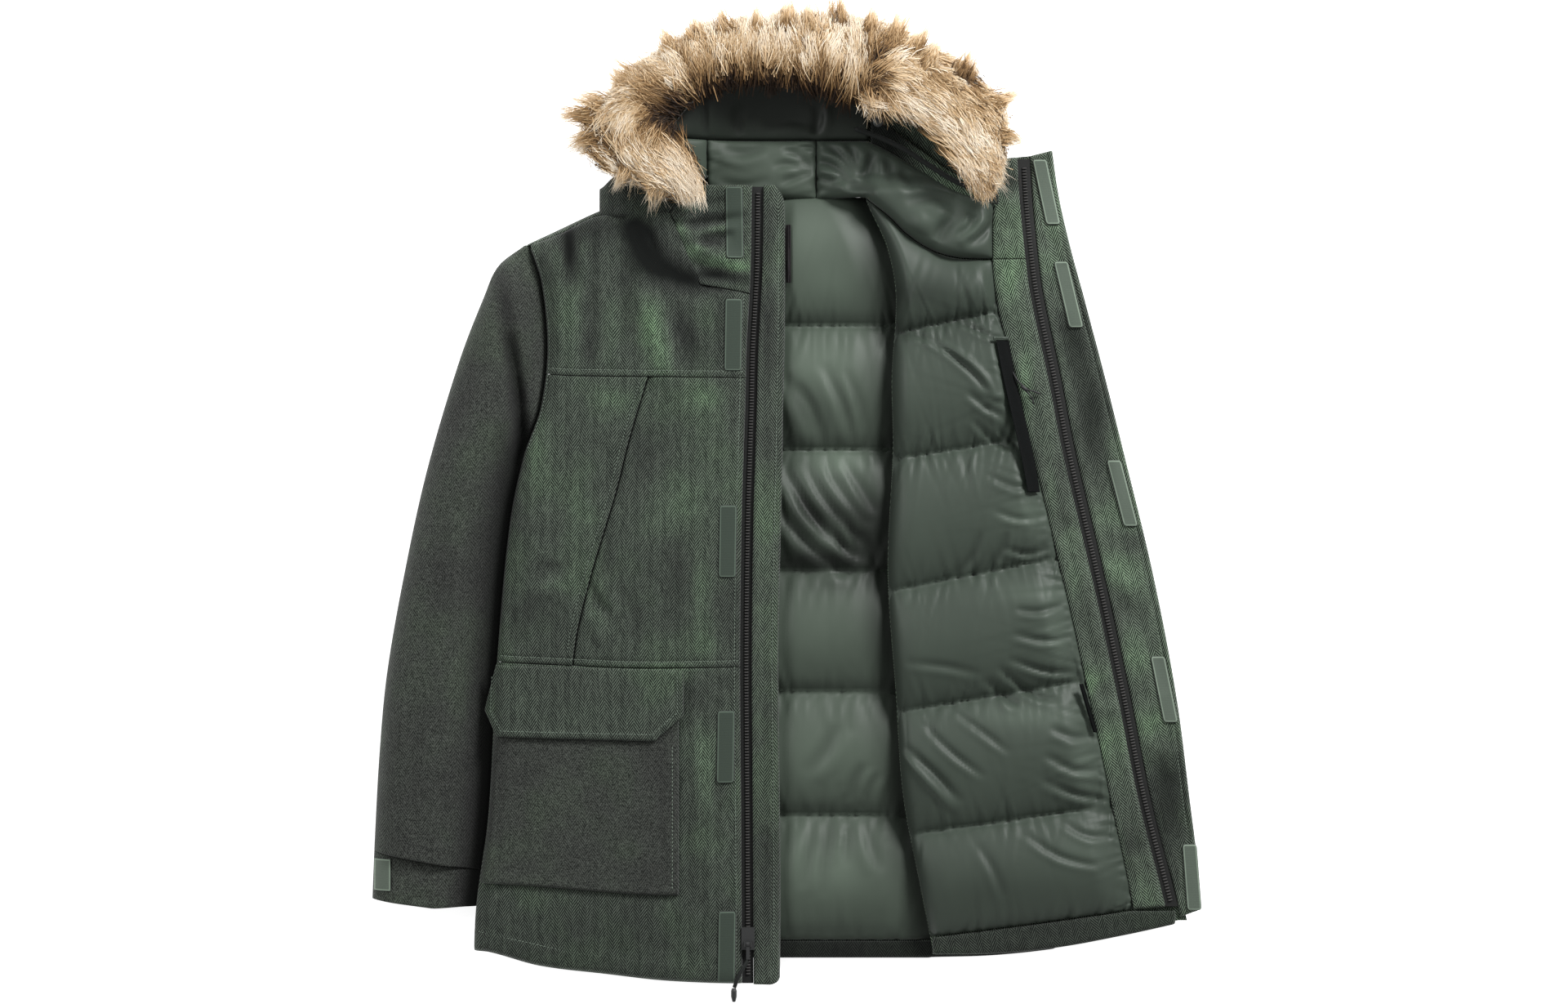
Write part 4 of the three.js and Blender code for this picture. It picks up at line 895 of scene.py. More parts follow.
# Patches of painted shade (above 0) and painted light (below 0) on the closed right front.
RIGHT_PAINTED_SHADING = [
    (-180, 246, 9, 34, -0.20), (-162, 250, 12, 34, -0.22), (-98, 244, 11, 26, -0.62),
    (-88, 212, 11, 18, -0.62), (-40, 172, 18, 11, -0.36), (-138, 236, 6, 30, -0.14),
    (-44, 248, 6, 30, -0.10), (-212, 130, 11, 36, -0.27), (-131, 169, 20, 10, -0.21),
    (-66, 60, 30, 30, -0.26), (-48, -14, 10, 34, -0.34), (-42, -72, 14, 10, -0.24),
    (-168, 56, 16, 22, -0.21), (-204, -14, 22, 6, -0.22), (-147, -38, 10, 14, -0.21),
    (-48, -170, 9, 26, -0.27), (-44, -205, 9, 30, -0.34), (-140, -94, 70, 5, -0.24),
    (-80, 100, 30, 30, -0.06), (-150, 338, 60, 14, 0.50), (-179, 312, 9, 30, 0.70),
    (-113, 330, 20, 30, 0.50), (-96, 300, 22, 20, 0.66), (-62, 290, 30, 14, 0.62), (-20, 282, 24, 9, 0.4),
    (-158, 214, 6, 26, 0.34), (-150, 320, 6, 24, 0.26), (-66, 226, 12, 26, 0.30), (-28, 240, 14, 34, 0.34),
    (-202, 300, 8, 26, 0.30), (-216, -34, 20, 30, 0.30), (-228, 60, 12, 60, 0.24), (-70, -14, 9, 40, 0.20),
    (-196, 8, 18, 5, 0.22), (-188, -54, 12, 26, 0.24), (-110, -20, 20, 60, 0.12), (-106, 120, 12, 34, 0.30),
    (-140, 20, 9, 30, 0.26), (-150, -356, 140, 44, 0.30), (-20, -30, 12, 60, 0.26),
    (-118, 258, 7, 44, 0.16), (-158, 262, 6, 40, 0.16), (-60, -122, 14, 14, 0.18),
]


def right_shade(x, y):
    # Painted shade along the armhole seam, where the body's edge meets the sleeve.
    seam_shade = swell(y, 110, 170, 0.95, 0.4) * np.exp(-((x - side(y)) / 1.8) ** 2) * ease((y + 80) / 40)
    return painted_shading(x, y, *RIGHT_PAINTED_SHADING) + seam_shade


right_cloth = {"top": right_front_top, "folds": RIGHT_FOLDS, "shade": right_shade}


def spun(name, colour, roughness=0.6, grain=0.25):
    """A plain strand or moulding: one colour with a fine uneven grain."""
    made = Finish(name, Roughness=roughness)
    speck = made.noise(1.5, 2)
    made.feed("Base Color", made.mix(speck, toned(colour, 1 - grain), toned(colour, 1 + grain)))
    made.bump(speck, 0.06, 0.4)
    return made


thread = spun("sewing thread", (0.150, 0.188, 0.150))
STITCH = 3.6              # from one stitch to the next


def stitches(name, points, level, thick=0.5):
    """A row of stitches along a line of points; each is a short bead of thread."""
    line = np.array(points, float)
    lengths = np.r_[0, np.cumsum(np.hypot(*np.diff(line, axis=0).T))]
    count = max(2, int(lengths[-1] / STITCH))
    form = bmesh.new()
    for i in range(count):
        at = (i + 0.5) * lengths[-1] / count
        x, y = (np.interp(at, lengths, line[:, k]) for k in (0, 1))
        dx, dy = (np.interp(at + 1, lengths, line[:, k]) - np.interp(at - 1, lengths, line[:, k])
                  for k in (0, 1))
        made = bmesh.ops.create_icosphere(form, subdivisions=1, radius=1)["verts"]
        bmesh.ops.scale(form, vec=(STITCH * 0.42, thick, thick * 0.8), verts=made)
        bmesh.ops.rotate(form, verts=made, matrix=Vector((dx, dy, 0)).to_track_quat("X", "Z").to_matrix())
        bmesh.ops.translate(form, verts=made, vec=(x, y, at_point(level)(x, y)))
    bmesh.ops.scale(form, vec=(0.001,) * 3, verts=form.verts)
    on_jacket(shown(mesh_of(form, name), thread), "shell")


sewn("yoke_cloth_right", shell, "yoke_right", left=side, right=tape_left, low=lambda x: yoke_seam(x) + 0.15,
     high=neckline, **right_cloth, fine=lambda x, y: stitched_ridge(y - yoke_seam(x)), size=(205, 130),
     spacing=2.8, edges=((5, 6), (3, 3), (2.5, 0.4), (3, 1.6)))
sewn("side_cloth_right", shell, "side_panel_right", left=side, right=lambda y: slant_pocket(y) - 0.15,
     low=lambda x: waist_seam(x) + 0.15, high=lambda x: yoke_seam(x) - 0.15, **right_cloth,
     fine=lambda x, y: stitched_ridge(slant_pocket(y) - x) + stitched_ridge(y - waist_seam(x)),
     size=(90, 282), spacing=2.8, edges=((5, 6), (1.6, 0.6), (2.5, 0.4), (2.5, 1.8)))
sewn("front_cloth_right", shell, "front_panel_right", left=lambda y: slant_pocket(y) + 0.15,
     right=tape_left, low=lambda x: waist_seam(x) + 0.15, high=lambda x: yoke_seam(x) - 0.15, **right_cloth,
     fine=lambda x, y: stitched_ridge(y - waist_seam(x)), size=(130, 282), spacing=2.8,
     edges=((14, 4.5), (3, 3), (2.5, 0.4), (2.5, 1.8)))
sewn("skirt_cloth_right", shell, "skirt_right", left=side, right=tape_left, low=hem_right,
     high=lambda x: waist_seam(x) - 0.15, **right_cloth, size=(255, 300), spacing=3.2,
     fine=lambda x, y: stitched_ridge(y - hem_right(x) - 16, 0.7, 1.3),
     edges=((4, 2.5), (3, 3), (6, 9), (2.5, 1.8)))
sewn("pocket_facing_right", shell, thick=1.0, left=lambda y: slant_pocket(y) - 9,
     right=lambda y: slant_pocket(y) + 7, low=-87, high=188, top=lambda x, y: right_front_top(x, y) - 6.4,
     folds=RIGHT_FOLDS, shade=flat_at(0.6), size=(16, 275), edges=(FLAT,) * 4, spacing=4)


LINE_POINTS = 80


def along_x(line, left, right):
    x = np.linspace(left, right, LINE_POINTS)
    return np.stack([x, line(x)], 1)


def along_y(line, low, high):
    y = np.linspace(low, high, LINE_POINTS)
    return np.stack([line(y), y], 1)


def right_level(x, y):
    return right_front_top(x, y) + folded(x, y, RIGHT_FOLDS) + 0.1


stitches("yoke_topstitch", along_x(lambda x: yoke_seam(x) + 6, -196, -8), right_level)
stitches("waist_topstitch", along_x(lambda x: waist_seam(x) + 6, -246, -12), right_level)
stitches("pocket_topstitch", along_y(lambda y: slant_pocket(y) - 6.4, -80, 186), right_level)
stitches("armhole_topstitch", along_y(lambda y: side(y) + 3, 120, 316), right_level)
stitches("placket_seam_stitch", along_y(lambda y: tape_left(y) - 5.5, -392, 272), right_level)
stitches("hem_topstitch", [(-268, -352), (-224, -361), (-176, -372), (-128, -378), (-80, -384), (-16, -386)],
         right_level)


# ------------------------------------------------------------------ collar and hood side
# The collar stands up beside the zip and folds over towards the hood; the outside of the hood
# shows between it and the shoulder, under the ruff.

COLLAR_TOP = 380


def collar_left(y):
    low = mix(-50, -80, np.clip((y - COLLAR_SEAM_Y) / (SHOULDER_Y - COLLAR_SEAM_Y), 0, 1))
    high = mix(-80, -50, (y - SHOULDER_Y) / (COLLAR_TOP - SHOULDER_Y))
    return np.where(y < SHOULDER_Y, low, high) + 0.7


def collar_height(x, y):
    fold_y = swell(x, -86, -2, 352, 296)
    fold = 3.2 * np.exp(-((y - fold_y) / 13) ** 2)
    top_roll = mix(0.5, 1, roll(COLLAR_TOP - y, 8))
    return mix(FRONT_UNDER + 2, 37, top_roll) + fold - 4 * (1 - roll(tape_left(y) - x, 10))


COLLAR_FOLDS = [
    (-7.5, 5, 0, (-82, 344), (-62, 340), (-34, 343), (-4, 348)),
    (5.0, 7, 0, (-74, 350), (-60, 326), (-40, 310), (-8, 302)),
    (-6.0, 5, 0, (-56, 322), (-40, 326), (-16, 330)),
    (-4.5, 5, 0, (-60, 306), (-42, 294), (-16, 288)),
    (3.0, 6, 0, (-52, 334), (-36, 336), (-12, 338)),
    (-3.5, 4, 0, (-62, 364), (-44, 360), (-26, 366)),
]
# Patches of painted shade and painted light on the collar: its bright fold and the dark hollows beside it.
COLLAR_PAINTED_SHADING = [(-72, 332, 9, 12, -0.80), (-57, 315, 12, 8, -0.85), (-37, 303, 15, 6, -0.80),
               (-14, 298, 14, 5, -0.70), (-44, 350, 28, 4, 0.36), (-38, 322, 22, 4, 0.50),
               (-58, 358, 20, 6, -0.20), (-84, 350, 8, 8, 0.50), (-44, 291, 26, 6, 0.75),
               (-14, 287, 20, 5, 0.45), (-30, 336, 18, 6, -0.30), (-30, 277, 24, 4, 0.10)]


def collar_lap(y):
    """The collar slumps over its own seam beside the neck."""
    return collar_left(y) - 11 * np.exp(-((y - 317) / 17) ** 2)


sewn("collar_cloth_right", shell, "collar_right", shade=lambda x, y: painted_shading(x, y, *COLLAR_PAINTED_SHADING),
     left=collar_lap, right=tape_left, high=COLLAR_TOP, size=(66, 105), spacing=2.2,
     low=lambda x: neckline(np.maximum(x, -50)) + 0.8, top=collar_height, folds=COLLAR_FOLDS,
     edges=((2.5, 2), (3, 3), (2.5, 1.5), (4, 5)))

sewn("hood_cloth_right", shell, "hood_side_right", left=-150,
     right=lambda y: collar_left(np.maximum(y, SHOULDER_Y)) - 0.4,
     low=lambda x: np.maximum(shoulder_seam(x), SHOULDER_Y) - 4,
     high=lambda x: 377 + 11 * ease((x + 150) / 18), top=lambda x, y: swell(x, -152, -122, 28, 40),
     size=(80, 30), spacing=2.4, edges=((14, 14), SEAM, (4, 8), FREE), shade=flat_at(0.45))


# ------------------------------------------------------------------ right half of the zip
# A black woven tape carries the moulded teeth; it is sewn between the front and the placket,
# a folded strip of herringbone that keeps the wind out behind the zip.

def webbing(name, colour, sheen=0.3):
    tape = Finish(name, Roughness=0.7, **{"Specular IOR Level": sheen})
    x, y, _ = tape.split()
    twill = ((x + y) * (2 * math.pi / 1.1)).math("SINE") * 0.5 + 0.5
    speck = tape.noise(1.8, 2)
    tape.feed("Base Color", tape.mix(twill * 0.5 + speck * 0.5, toned(colour, 0.45), colour))
    tape.bump(twill, 0.12, 0.5)
    return tape


tape_cloth = webbing("zip tape", (0.020, 0.021, 0.020))
tooth_plastic = spun("moulded teeth", (0.085, 0.082, 0.080), 0.30)


def tape_right(y):
    return right_teeth(y) + TAPE_HALF - 1


sewn("zip_cloth_right", tape_cloth, "zip_tape_right", thick=1.0, slot="zip_tape", left=tape_left,
     right=tape_right, low=-404, high=COLLAR_TOP - 2, size=(11, 782), spacing=3.5, top=flat_at(26.6),
     edges=(FLAT,) * 4)


TOOTH = 2.9               # from one tooth to the next


def zip_teeth(name, line, low, high, level):
    """Moulded teeth clamped over the corded middle of a tape, each wider than it is long."""
    form = bmesh.new()
    for i in range(int((high - low) / TOOTH)):
        y = low + (i + 0.5) * TOOTH
        lean = float(line(y + 1) - line(y - 1)) / 2
        made = bmesh.ops.create_cube(form, size=1)["verts"]
        top = [vert for vert in made if vert.co.z > 0]
        bmesh.ops.scale(form, vec=(0.72, 0.55, 1), verts=top)
        bmesh.ops.scale(form, vec=(4.6, 1.5, 2.2), verts=made)
        bmesh.ops.rotate(form, verts=made, matrix=Vector((1, -lean, 0)).to_track_quat("X", "Z").to_matrix())
        x = float(line(y))
        bmesh.ops.translate(form, verts=made, vec=(x, y, at_point(level)(x, y)))
    bmesh.ops.scale(form, vec=(0.001,) * 3, verts=form.verts)
    on_jacket(shown(mesh_of(form, name), tooth_plastic, smooth=False), "hardware")


zip_teeth("zip_teeth_right", right_teeth, -396, 374, flat_at(27.4))


def hem_of_placket(x):
    return hem_right(x) + 12 * (1 - roll(right_edge(-300) + 1 - x, 12))


def placket_height(x, y):
    return mix(26, 31, roll(right_edge(y) - x, 9))


PLACKET_FOLDS = [
    (1.2, 7, 0, (10, -76), (18, -84), (28, -90)),
    (-1.3, 7, 0, (8, -98), (18, -104), (28, -112)),
    (1.4, 7, 0, (8, -244), (18, -250), (28, -258)),
    (-1.4, 8, 0, (8, -268), (18, -276), (28, -284)),
    (-1.2, 7, 0, (12, 356), (20, 350), (30, 346)),
    (1.2, 10, 0, (18, 300), (19, 250), (20, 190)),
    (-1.0, 9, 0, (18, 150), (18, 90), (16, 30)),
]
# Patches of painted shade (above 0) and painted light (below 0) on the placket.
PLACKET_PAINTED_SHADING = [(17, 236, 12, 60, 0.42), (17, 330, 12, 40, 0.30), (14, -290, 14, 80, 0.40),
                (16, -140, 12, 50, 0.24), (17, 120, 12, 24, 0.12), (14, 40, 9, 40, -0.16),
                (26, 300, 4, 60, -0.25)]
sewn("placket_cloth", shell, "placket_right", shade=lambda x, y: painted_shading(x, y, *PLACKET_PAINTED_SHADING),
     left=lambda y: tape_right(y) + 0.2, right=right_edge, low=hem_of_placket,
     high=lambda x: COLLAR_TOP - 14 * (1 - roll(right_edge(300) + 1 - x, 14)), size=(26, 782), spacing=2.8,
     top=placket_height, folds=PLACKET_FOLDS, fine=lambda x, y: stitched_ridge(right_edge(y) - x, 0.5),
     edges=((2, 2.2), (4, 4.5), (4, 4), (4, 4)))
stitches("placket_topstitch", along_y(lambda y: right_edge(y) - 6.4, -396, 366),
         lambda x, y: placket_height(x, y) + 0.1)


# ------------------------------------------------------------------ cargo pocket
# A bellows pocket of the plain heathered cloth on the skirt, pleated on its outer side, under
# a herringbone flap whose lower corners are cut off and whose edge is bound and topstitched.

POCKET_TOP = -98


def pocket_height(x, y):
    return right_front_top(x, y) + LAY_GAP + 6 - 1.4


def pocket_foot(x):
    return swell(x, -266, -76, -305, -316)


POCKET_FOLDS = [
    (-1.6, 10, 0, (-226, -180), (-222, -240), (-228, -300)),
    (1.6, 12, 0, (-196, -176), (-190, -236), (-194, -296)),
    (-1.3, 12, 0, (-150, -184), (-146, -230), (-152, -290)),
    (1.4, 11, 0, (-112, -176), (-110, -236), (-106, -300)),
    (-1.8, 4, 0.8, (-90, -172), (-88, -236), (-86, -306)),
    (-1.2, 4, 0.6, (-244, -176), (-246, -236), (-248, -296)),
]
sewn("cargo_pocket", heather, "cargo_pocket_right", rests_on=["skirt_cloth_right"],
     left=lambda y: side(y) + 1.5, right=-71, low=pocket_foot, high=POCKET_TOP, top=pocket_height,
     folds=POCKET_FOLDS, size=(190, 212), spacing=3.1, edges=((5, 6), (2.5, 4.5), (3, 5.5), FREE))


def pocket_level(x, y):
    return pocket_height(x, y) + folded(x, y, POCKET_FOLDS) + 0.1


stitches("pocket_side_stitch", along_y(flat_at(-77), -310, -170), pocket_level, thick=0.62)


def flap_left(y):
    return np.maximum(mix(-250, -262, np.clip((-90 - y) / 45, 0, 1)), -262 + np.maximum(0, -136 - y) * 0.5)


def flap_right(y):
    return -66 - np.maximum(0, -140 - y) * 1.12


def flap_foot(x):
    return -165 + 4 * np.clip((-94 - x) / 150, 0, 1)


def flap_height(x, y):
    inner = np.maximum(side(y) + 1.5, x)
    raised = pocket_height(inner, y) + 1.4 + 0.4 + LAY_GAP - 0.9 * np.maximum(0, inner - x)
    return raised + 2.6


def flap_band(x, y):
    """The binding: a low ridge along the flap's edge, with a stitched groove beside it."""
    right = flap_right(y) - x
    slope = (y - flap_foot(x))
    left = x - flap_left(y)
    edge = np.minimum.reduce([np.where(y < -136, right / 1.5, right), slope,
                              np.where(y < -136, left / 1.2, 99)])
    return 0.9 * np.exp(-((edge - 4.5) / 3.4) ** 2) - 1.1 * np.exp(-((edge - 9) / 0.9) ** 2)


sewn("cargo_flap", shell, "cargo_flap_right", rests_on=["cargo_pocket"], left=flap_left, right=flap_right,
     low=flap_foot, high=lambda x: ramp(x, -250, -66, -91, -96), size=(190, 72),
     spacing=2.4, top=flap_height, fine=flap_band, edges=((4, 3.5), (2, 2.6), (2, 2.6), (3, 1.5)))


stitches("flap_topstitch", [(-254, -102), (-255.5, -137), (-244.5, -155), (-96.5, -158.6), (-72, -137),
                            (-72, -101)], lambda x, y: flap_height(x, y) + flap_band(x, y) + 0.1)


# ------------------------------------------------------------------ loop tabs and label
# Five strips of loop tape run down the front beside the zip; a plain black label is sewn
# into the back of the neck, half hidden by the placket.

def front_level(x, y):
    on_collar = collar_height(x, np.minimum(y, COLLAR_TOP - 10)) + folded(x, y, COLLAR_FOLDS)
    return np.where(y > COLLAR_SEAM_Y, on_collar, right_front_top(x, y)) + LAY_GAP


LOOP_TABS = [(-16.5, 342, 1), (-17.5, 232, -1), (-23, 30, -1), (-25, -171, -1), (-24, -367, -1)]
for i, (x, y, lean) in enumerate(LOOP_TABS, 1):
    piece = tab(f"loop_strip_{i}", loop_tape, x, y, lean, 17.5, 71, front_level)
    sew_in(piece, f"loop_tab_{i}", slot="tab")

label_cloth = webbing("label", (0.020, 0.016, 0.018))
sewn("blank_label", label_cloth, "neck_label", thick=0.6, slot="label", left=33.6, right=38.5, low=284,
     high=341, size=(5, 57), spacing=2.5, top=lambda x, y: np.maximum(back_lining_height(x, y) + 1.5, 19)
     + 1.6, edges=(FLAT,) * 4)


# ------------------------------------------------------------------ opened left front, outer cloth
# The front is turned over: its herringbone lies on the left sleeve, and its facing, collar
# and turned-up hem frame the lining. It climbs from the back's padding onto the sleeve.

OPEN_RISE = 13
lining_edge = column((412, 237), (368, 237), (320, 236), (272, 239), (192, 258), (120, 274), (0, 303),
                     (-120, 330), (-220, 351), (-310, 370), (-380, 384))
left_teeth = column((412, 267), (368, 269), (320, 273), (272, 279), (192, 296), (120, 310), (0, 338),
                    (-120, 364), (-220, 384), (-310, 407), (-380, 424))
left_neck = column((112, 367), (136, 348), (152, 332), (176, 316), (200, 308), (237, 306))


def open_under(x, y):
    return FRONT_UNDER + OPEN_RISE * ease((x - 140) / 160) * ease((412 - y) / 110)


def open_layer(x, y):
    return open_under(x, y) + 2 + LAY_GAP


sewn("front_left_outside", shell_open_painted_lighter, "front_left_shell", thick=1.7, left=valley,
     right=lambda y: left_teeth(y) + TAPE_HALF + 6, low=lambda x: left_hem(x) + 3,
     high=lambda x: left_neck(x) - 0.6, size=(200, 700), spacing=9, top=lambda x, y: open_under(x, y) + 1.9,
     edges=(FLAT,) * 4)
sewn("collar_left_outside", shell_open_painted_lighter, "collar_left_shell", thick=1.7, left=lining_edge,
     right=lambda y: left_teeth(y) + TAPE_HALF + 6, low=306,
     high=lambda x: ramp(x, 240, 280, 405, 409), size=(40, 100), spacing=6,
     top=lambda x, y: open_under(x, y) + 1.9, edges=(FLAT,) * 4)

FACING_FOLDS = [
    (1.8, 10, 0, (252, 296), (258, 262), (262, 226)),
    (-2.0, 9, 0, (248, 250), (258, 232), (268, 208)),
    (2.0, 11, 0, (274, 214), (282, 160), (292, 110)),
    (-1.6, 9, 0, (268, 180), (276, 150), (282, 118)),
    (2.2, 9, 0, (300, 92), (308, 60), (316, 30)),
    (-2.6, 9, 0, (296, 52), (306, 44), (322, 38)),
    (-1.8, 9, 0, (312, -4), (318, -40), (330, -80)),
    (2.2, 9, 0, (324, 8), (334, -36), (344, -84)),
    (-2.2, 8, 0, (330, -112), (344, -118), (358, -116)),
    (2.4, 9, 0, (336, -130), (350, -134), (366, -130)),
    (-1.6, 10, 0, (350, -160), (354, -200), (360, -240)),
    (1.8, 9, 0, (366, -170), (374, -220), (384, -262)),
    (-2.0, 9, 0, (364, -262), (376, -270), (390, -270)),
    (-1.6, 6, 0, (240, 342), (250, 338), (262, 344)),
    (2.0, 8, 0, (242, 366), (252, 360), (262, 362)),
    (-2.6, 7, 0, (238, 388), (250, 380), (264, 384)),
]


# Patches of painted shade (above 0) and painted light (below 0) on the opened front's facing and flap.
OPEN_PAINTED_SHADING = [
    (253, 280, 9, 22, -0.34), (268, 190, 7, 44, -0.39), (295, 86, 7, 28, -0.29), (315, -14, 7, 26, -0.24),
    (330, -110, 10, 12, -0.31), (345, -170, 8, 22, -0.22), (296, 345, 9, 55, -0.29),
    (345, 56, 20, 14, -0.24), (360, 2, 22, 18, -0.39), (374, -78, 14, 20, -0.29),
    (392, -150, 12, 14, -0.26), (428, -300, 10, 26, -0.26), (316, 230, 22, 36, 0.60),
    (334, 150, 18, 50, 0.72), (302, 110, 10, 40, 0.30), (372, 30, 14, 10, 0.36), (408, -226, 24, 60, 0.80),
    (368, -270, 10, 36, 0.38), (352, -60, 9, 30, 0.3), (280, 130, 6, 30, 0.2), (250, 384, 12, 10, 0.5),
]


def open_shade(x, y):
    return painted_shading(x, y, *OPEN_PAINTED_SHADING)


def facing_height(x, y):
    return open_layer(x, y) + 6.6


def foot_of_facing(x):
    return ramp(x, 372, 410, -330, -327)


def tape_left_low(y):
    return left_teeth(y) - TAPE_HALF


def tape_left_high(y):
    return left_teeth(y) + TAPE_HALF


sewn("front_facing", shell_open_painted_lighter, "facing_left", left=lining_edge, right=tape_left_low, low=foot_of_facing,
     high=305.85, size=(36, 636), spacing=2.8, top=facing_height, folds=FACING_FOLDS, shade=open_shade,
     edges=((4, 2.5), (3.5, 3.2), (4, 4), (2.5, 1.8)))
sewn("collar_facing", shell_open_painted_lighter, "collar_facing_left", left=lining_edge, right=tape_left_low, low=306.15,
     high=lambda x: ramp(x, 240, 270, 405, 408), size=(30, 100), spacing=2.6,
     shade=open_shade, top=facing_height, folds=FACING_FOLDS,
     edges=((4, 2.5), (3.5, 3.2), (2.5, 1.0), (5, 5)))
stitches("facing_topstitch", along_y(lambda y: left_teeth(y) - TAPE_HALF - 3, -322, 300),
         lambda x, y: facing_height(x, y) + folded(x, y, FACING_FOLDS) - 0.2)

sewn("zip_cloth_left", tape_cloth, "zip_tape_left", thick=1.0, slot="zip_tape", left=tape_left_low,
     right=tape_left_high, low=-327, high=405, size=(12, 732), spacing=3.5,
     top=lambda x, y: open_layer(x, y) + 3.4, edges=(FLAT,) * 4)
zip_teeth("zip_teeth_left", left_teeth, -322, 400, lambda x, y: open_layer(x, y) + 4.3)

FLAP_FOLDS = [
    (-2.4, 9, 0, (284, 330), (296, 320), (312, 318)),
    (2.2, 9, 0, (296, 344), (304, 322), (310, 300)),
    (-2.2, 9, 0, (300, 252), (308, 232), (322, 218)),
    (-2.6, 10, 0, (312, 226), (320, 190), (330, 150)),
    (2.0, 9, 0, (330, 232), (338, 190), (346, 148)),
    (-1.8, 8, 0, (336, 130), (342, 100), (346, 60)),
    (1.8, 8, 0, (352, 128), (356, 100), (362, 52)),
    (2.6, 10, 0, (344, 12), (362, -10), (388, -26)),
    (-2.6, 9, 0, (352, -10), (368, -40), (392, -60)),
    (2.0, 10, 0, (368, -40), (378, -80), (388, -118)),
    (-2.0, 9, 0, (388, -60), (396, -90), (402, -120)),
    (2.4, 9, 0, (384, -160), (398, -172), (418, -176)),
    (-2.4, 9, 0, (388, -184), (402, -198), (424, -206)),
    (1.8, 9, 0, (398, -220), (406, -250), (412, -286)),
    (-1.8, 8, 0, (404, -290), (414, -304), (420, -322)),
]


def flap_ridge(x, y):
    return stitched_ridge(flap_edge(y) - x, 1.0, 1.2)


def storm_flap_height(x, y):
    return open_under(x, y) + 7.4


sewn("storm_flap", shell_open_painted_lighter, "storm_flap_left", left=lambda y: tape_left_high(y) + 0.6, right=flap_edge,
     low=lambda x: ramp(x, 414, 438, -340, -331),
     high=lambda x: ramp(x, 272, 296, 408, 414), size=(46, 745), spacing=3.2,
     top=storm_flap_height, folds=FLAP_FOLDS, fine=flap_ridge, shade=open_shade,
     edges=((3, 2.8), (4, 6), (4, 5), (4, 5)))


def storm_level(x, y):
    return storm_flap_height(x, y) + folded(x, y, FLAP_FOLDS) + 0.1


stitches("storm_flap_topstitch", along_y(lambda y: flap_edge(y) - 7.5, -330, 406),
         lambda x, y: storm_level(x, y) - 0.7)

HOOK_TABS = [(289, 372, 13), (310, 271, 15.5), (362.5, 77, 17), (403.5, -114.5, 13), (430.5, -298, 5)]
for i, (x, y, lean) in enumerate(HOOK_TABS, 1):
    piece = tab(f"hook_strip_{i}", hook_tape, x, y, lean, 14.5, 65, lambda px, py: storm_level(px, py) + 1.2)
    sew_in(piece, f"hook_tab_{i}", slot="tab")


def quilt_foot(x):
    return ramp(x, 176, 372, -358, -330)


sewn("front_left_turned_hem", shell_open_painted_lighter, "front_left_hem", left=178, right=415, low=left_hem,
     high=lambda x: np.minimum(quilt_foot(x) - 1.4, -331), size=(237, 22), spacing=3,
     top=lambda x, y: open_layer(x, y) + 5.6, edges=((4, 5), (4, 5), (5, 6), (3, 2)), shade=flat_at(0.6))


# ------------------------------------------------------------------ lining of the left front
# The same quilted taffeta over down; its seams climb towards the facing, where the baffles
# are drawn in, so that deep gathers run in from the facing and out of every seam.

# The level of each seam at the valley and at the edge of the lining.
LEFT_SEAMS = [(-358, -330), (-258, -228), (-138, -106), (-20, 14), (110, 131), (234, 256)]


def left_seam(row):
    """The level of a seam at any x, between the valley and the edge of the lining."""
    if row >= len(LEFT_SEAMS):
        return lambda x: left_neck(x) - SEAM_GAP
    inner, outer = LEFT_SEAMS[row]
    start, end = float(valley(inner)), float(lining_edge(outer))
    return lambda x: mix(inner, outer, (x - start) / (end - start))


left_seams = [left_seam(row) for row in range(len(LEFT_SEAMS) + 1)]

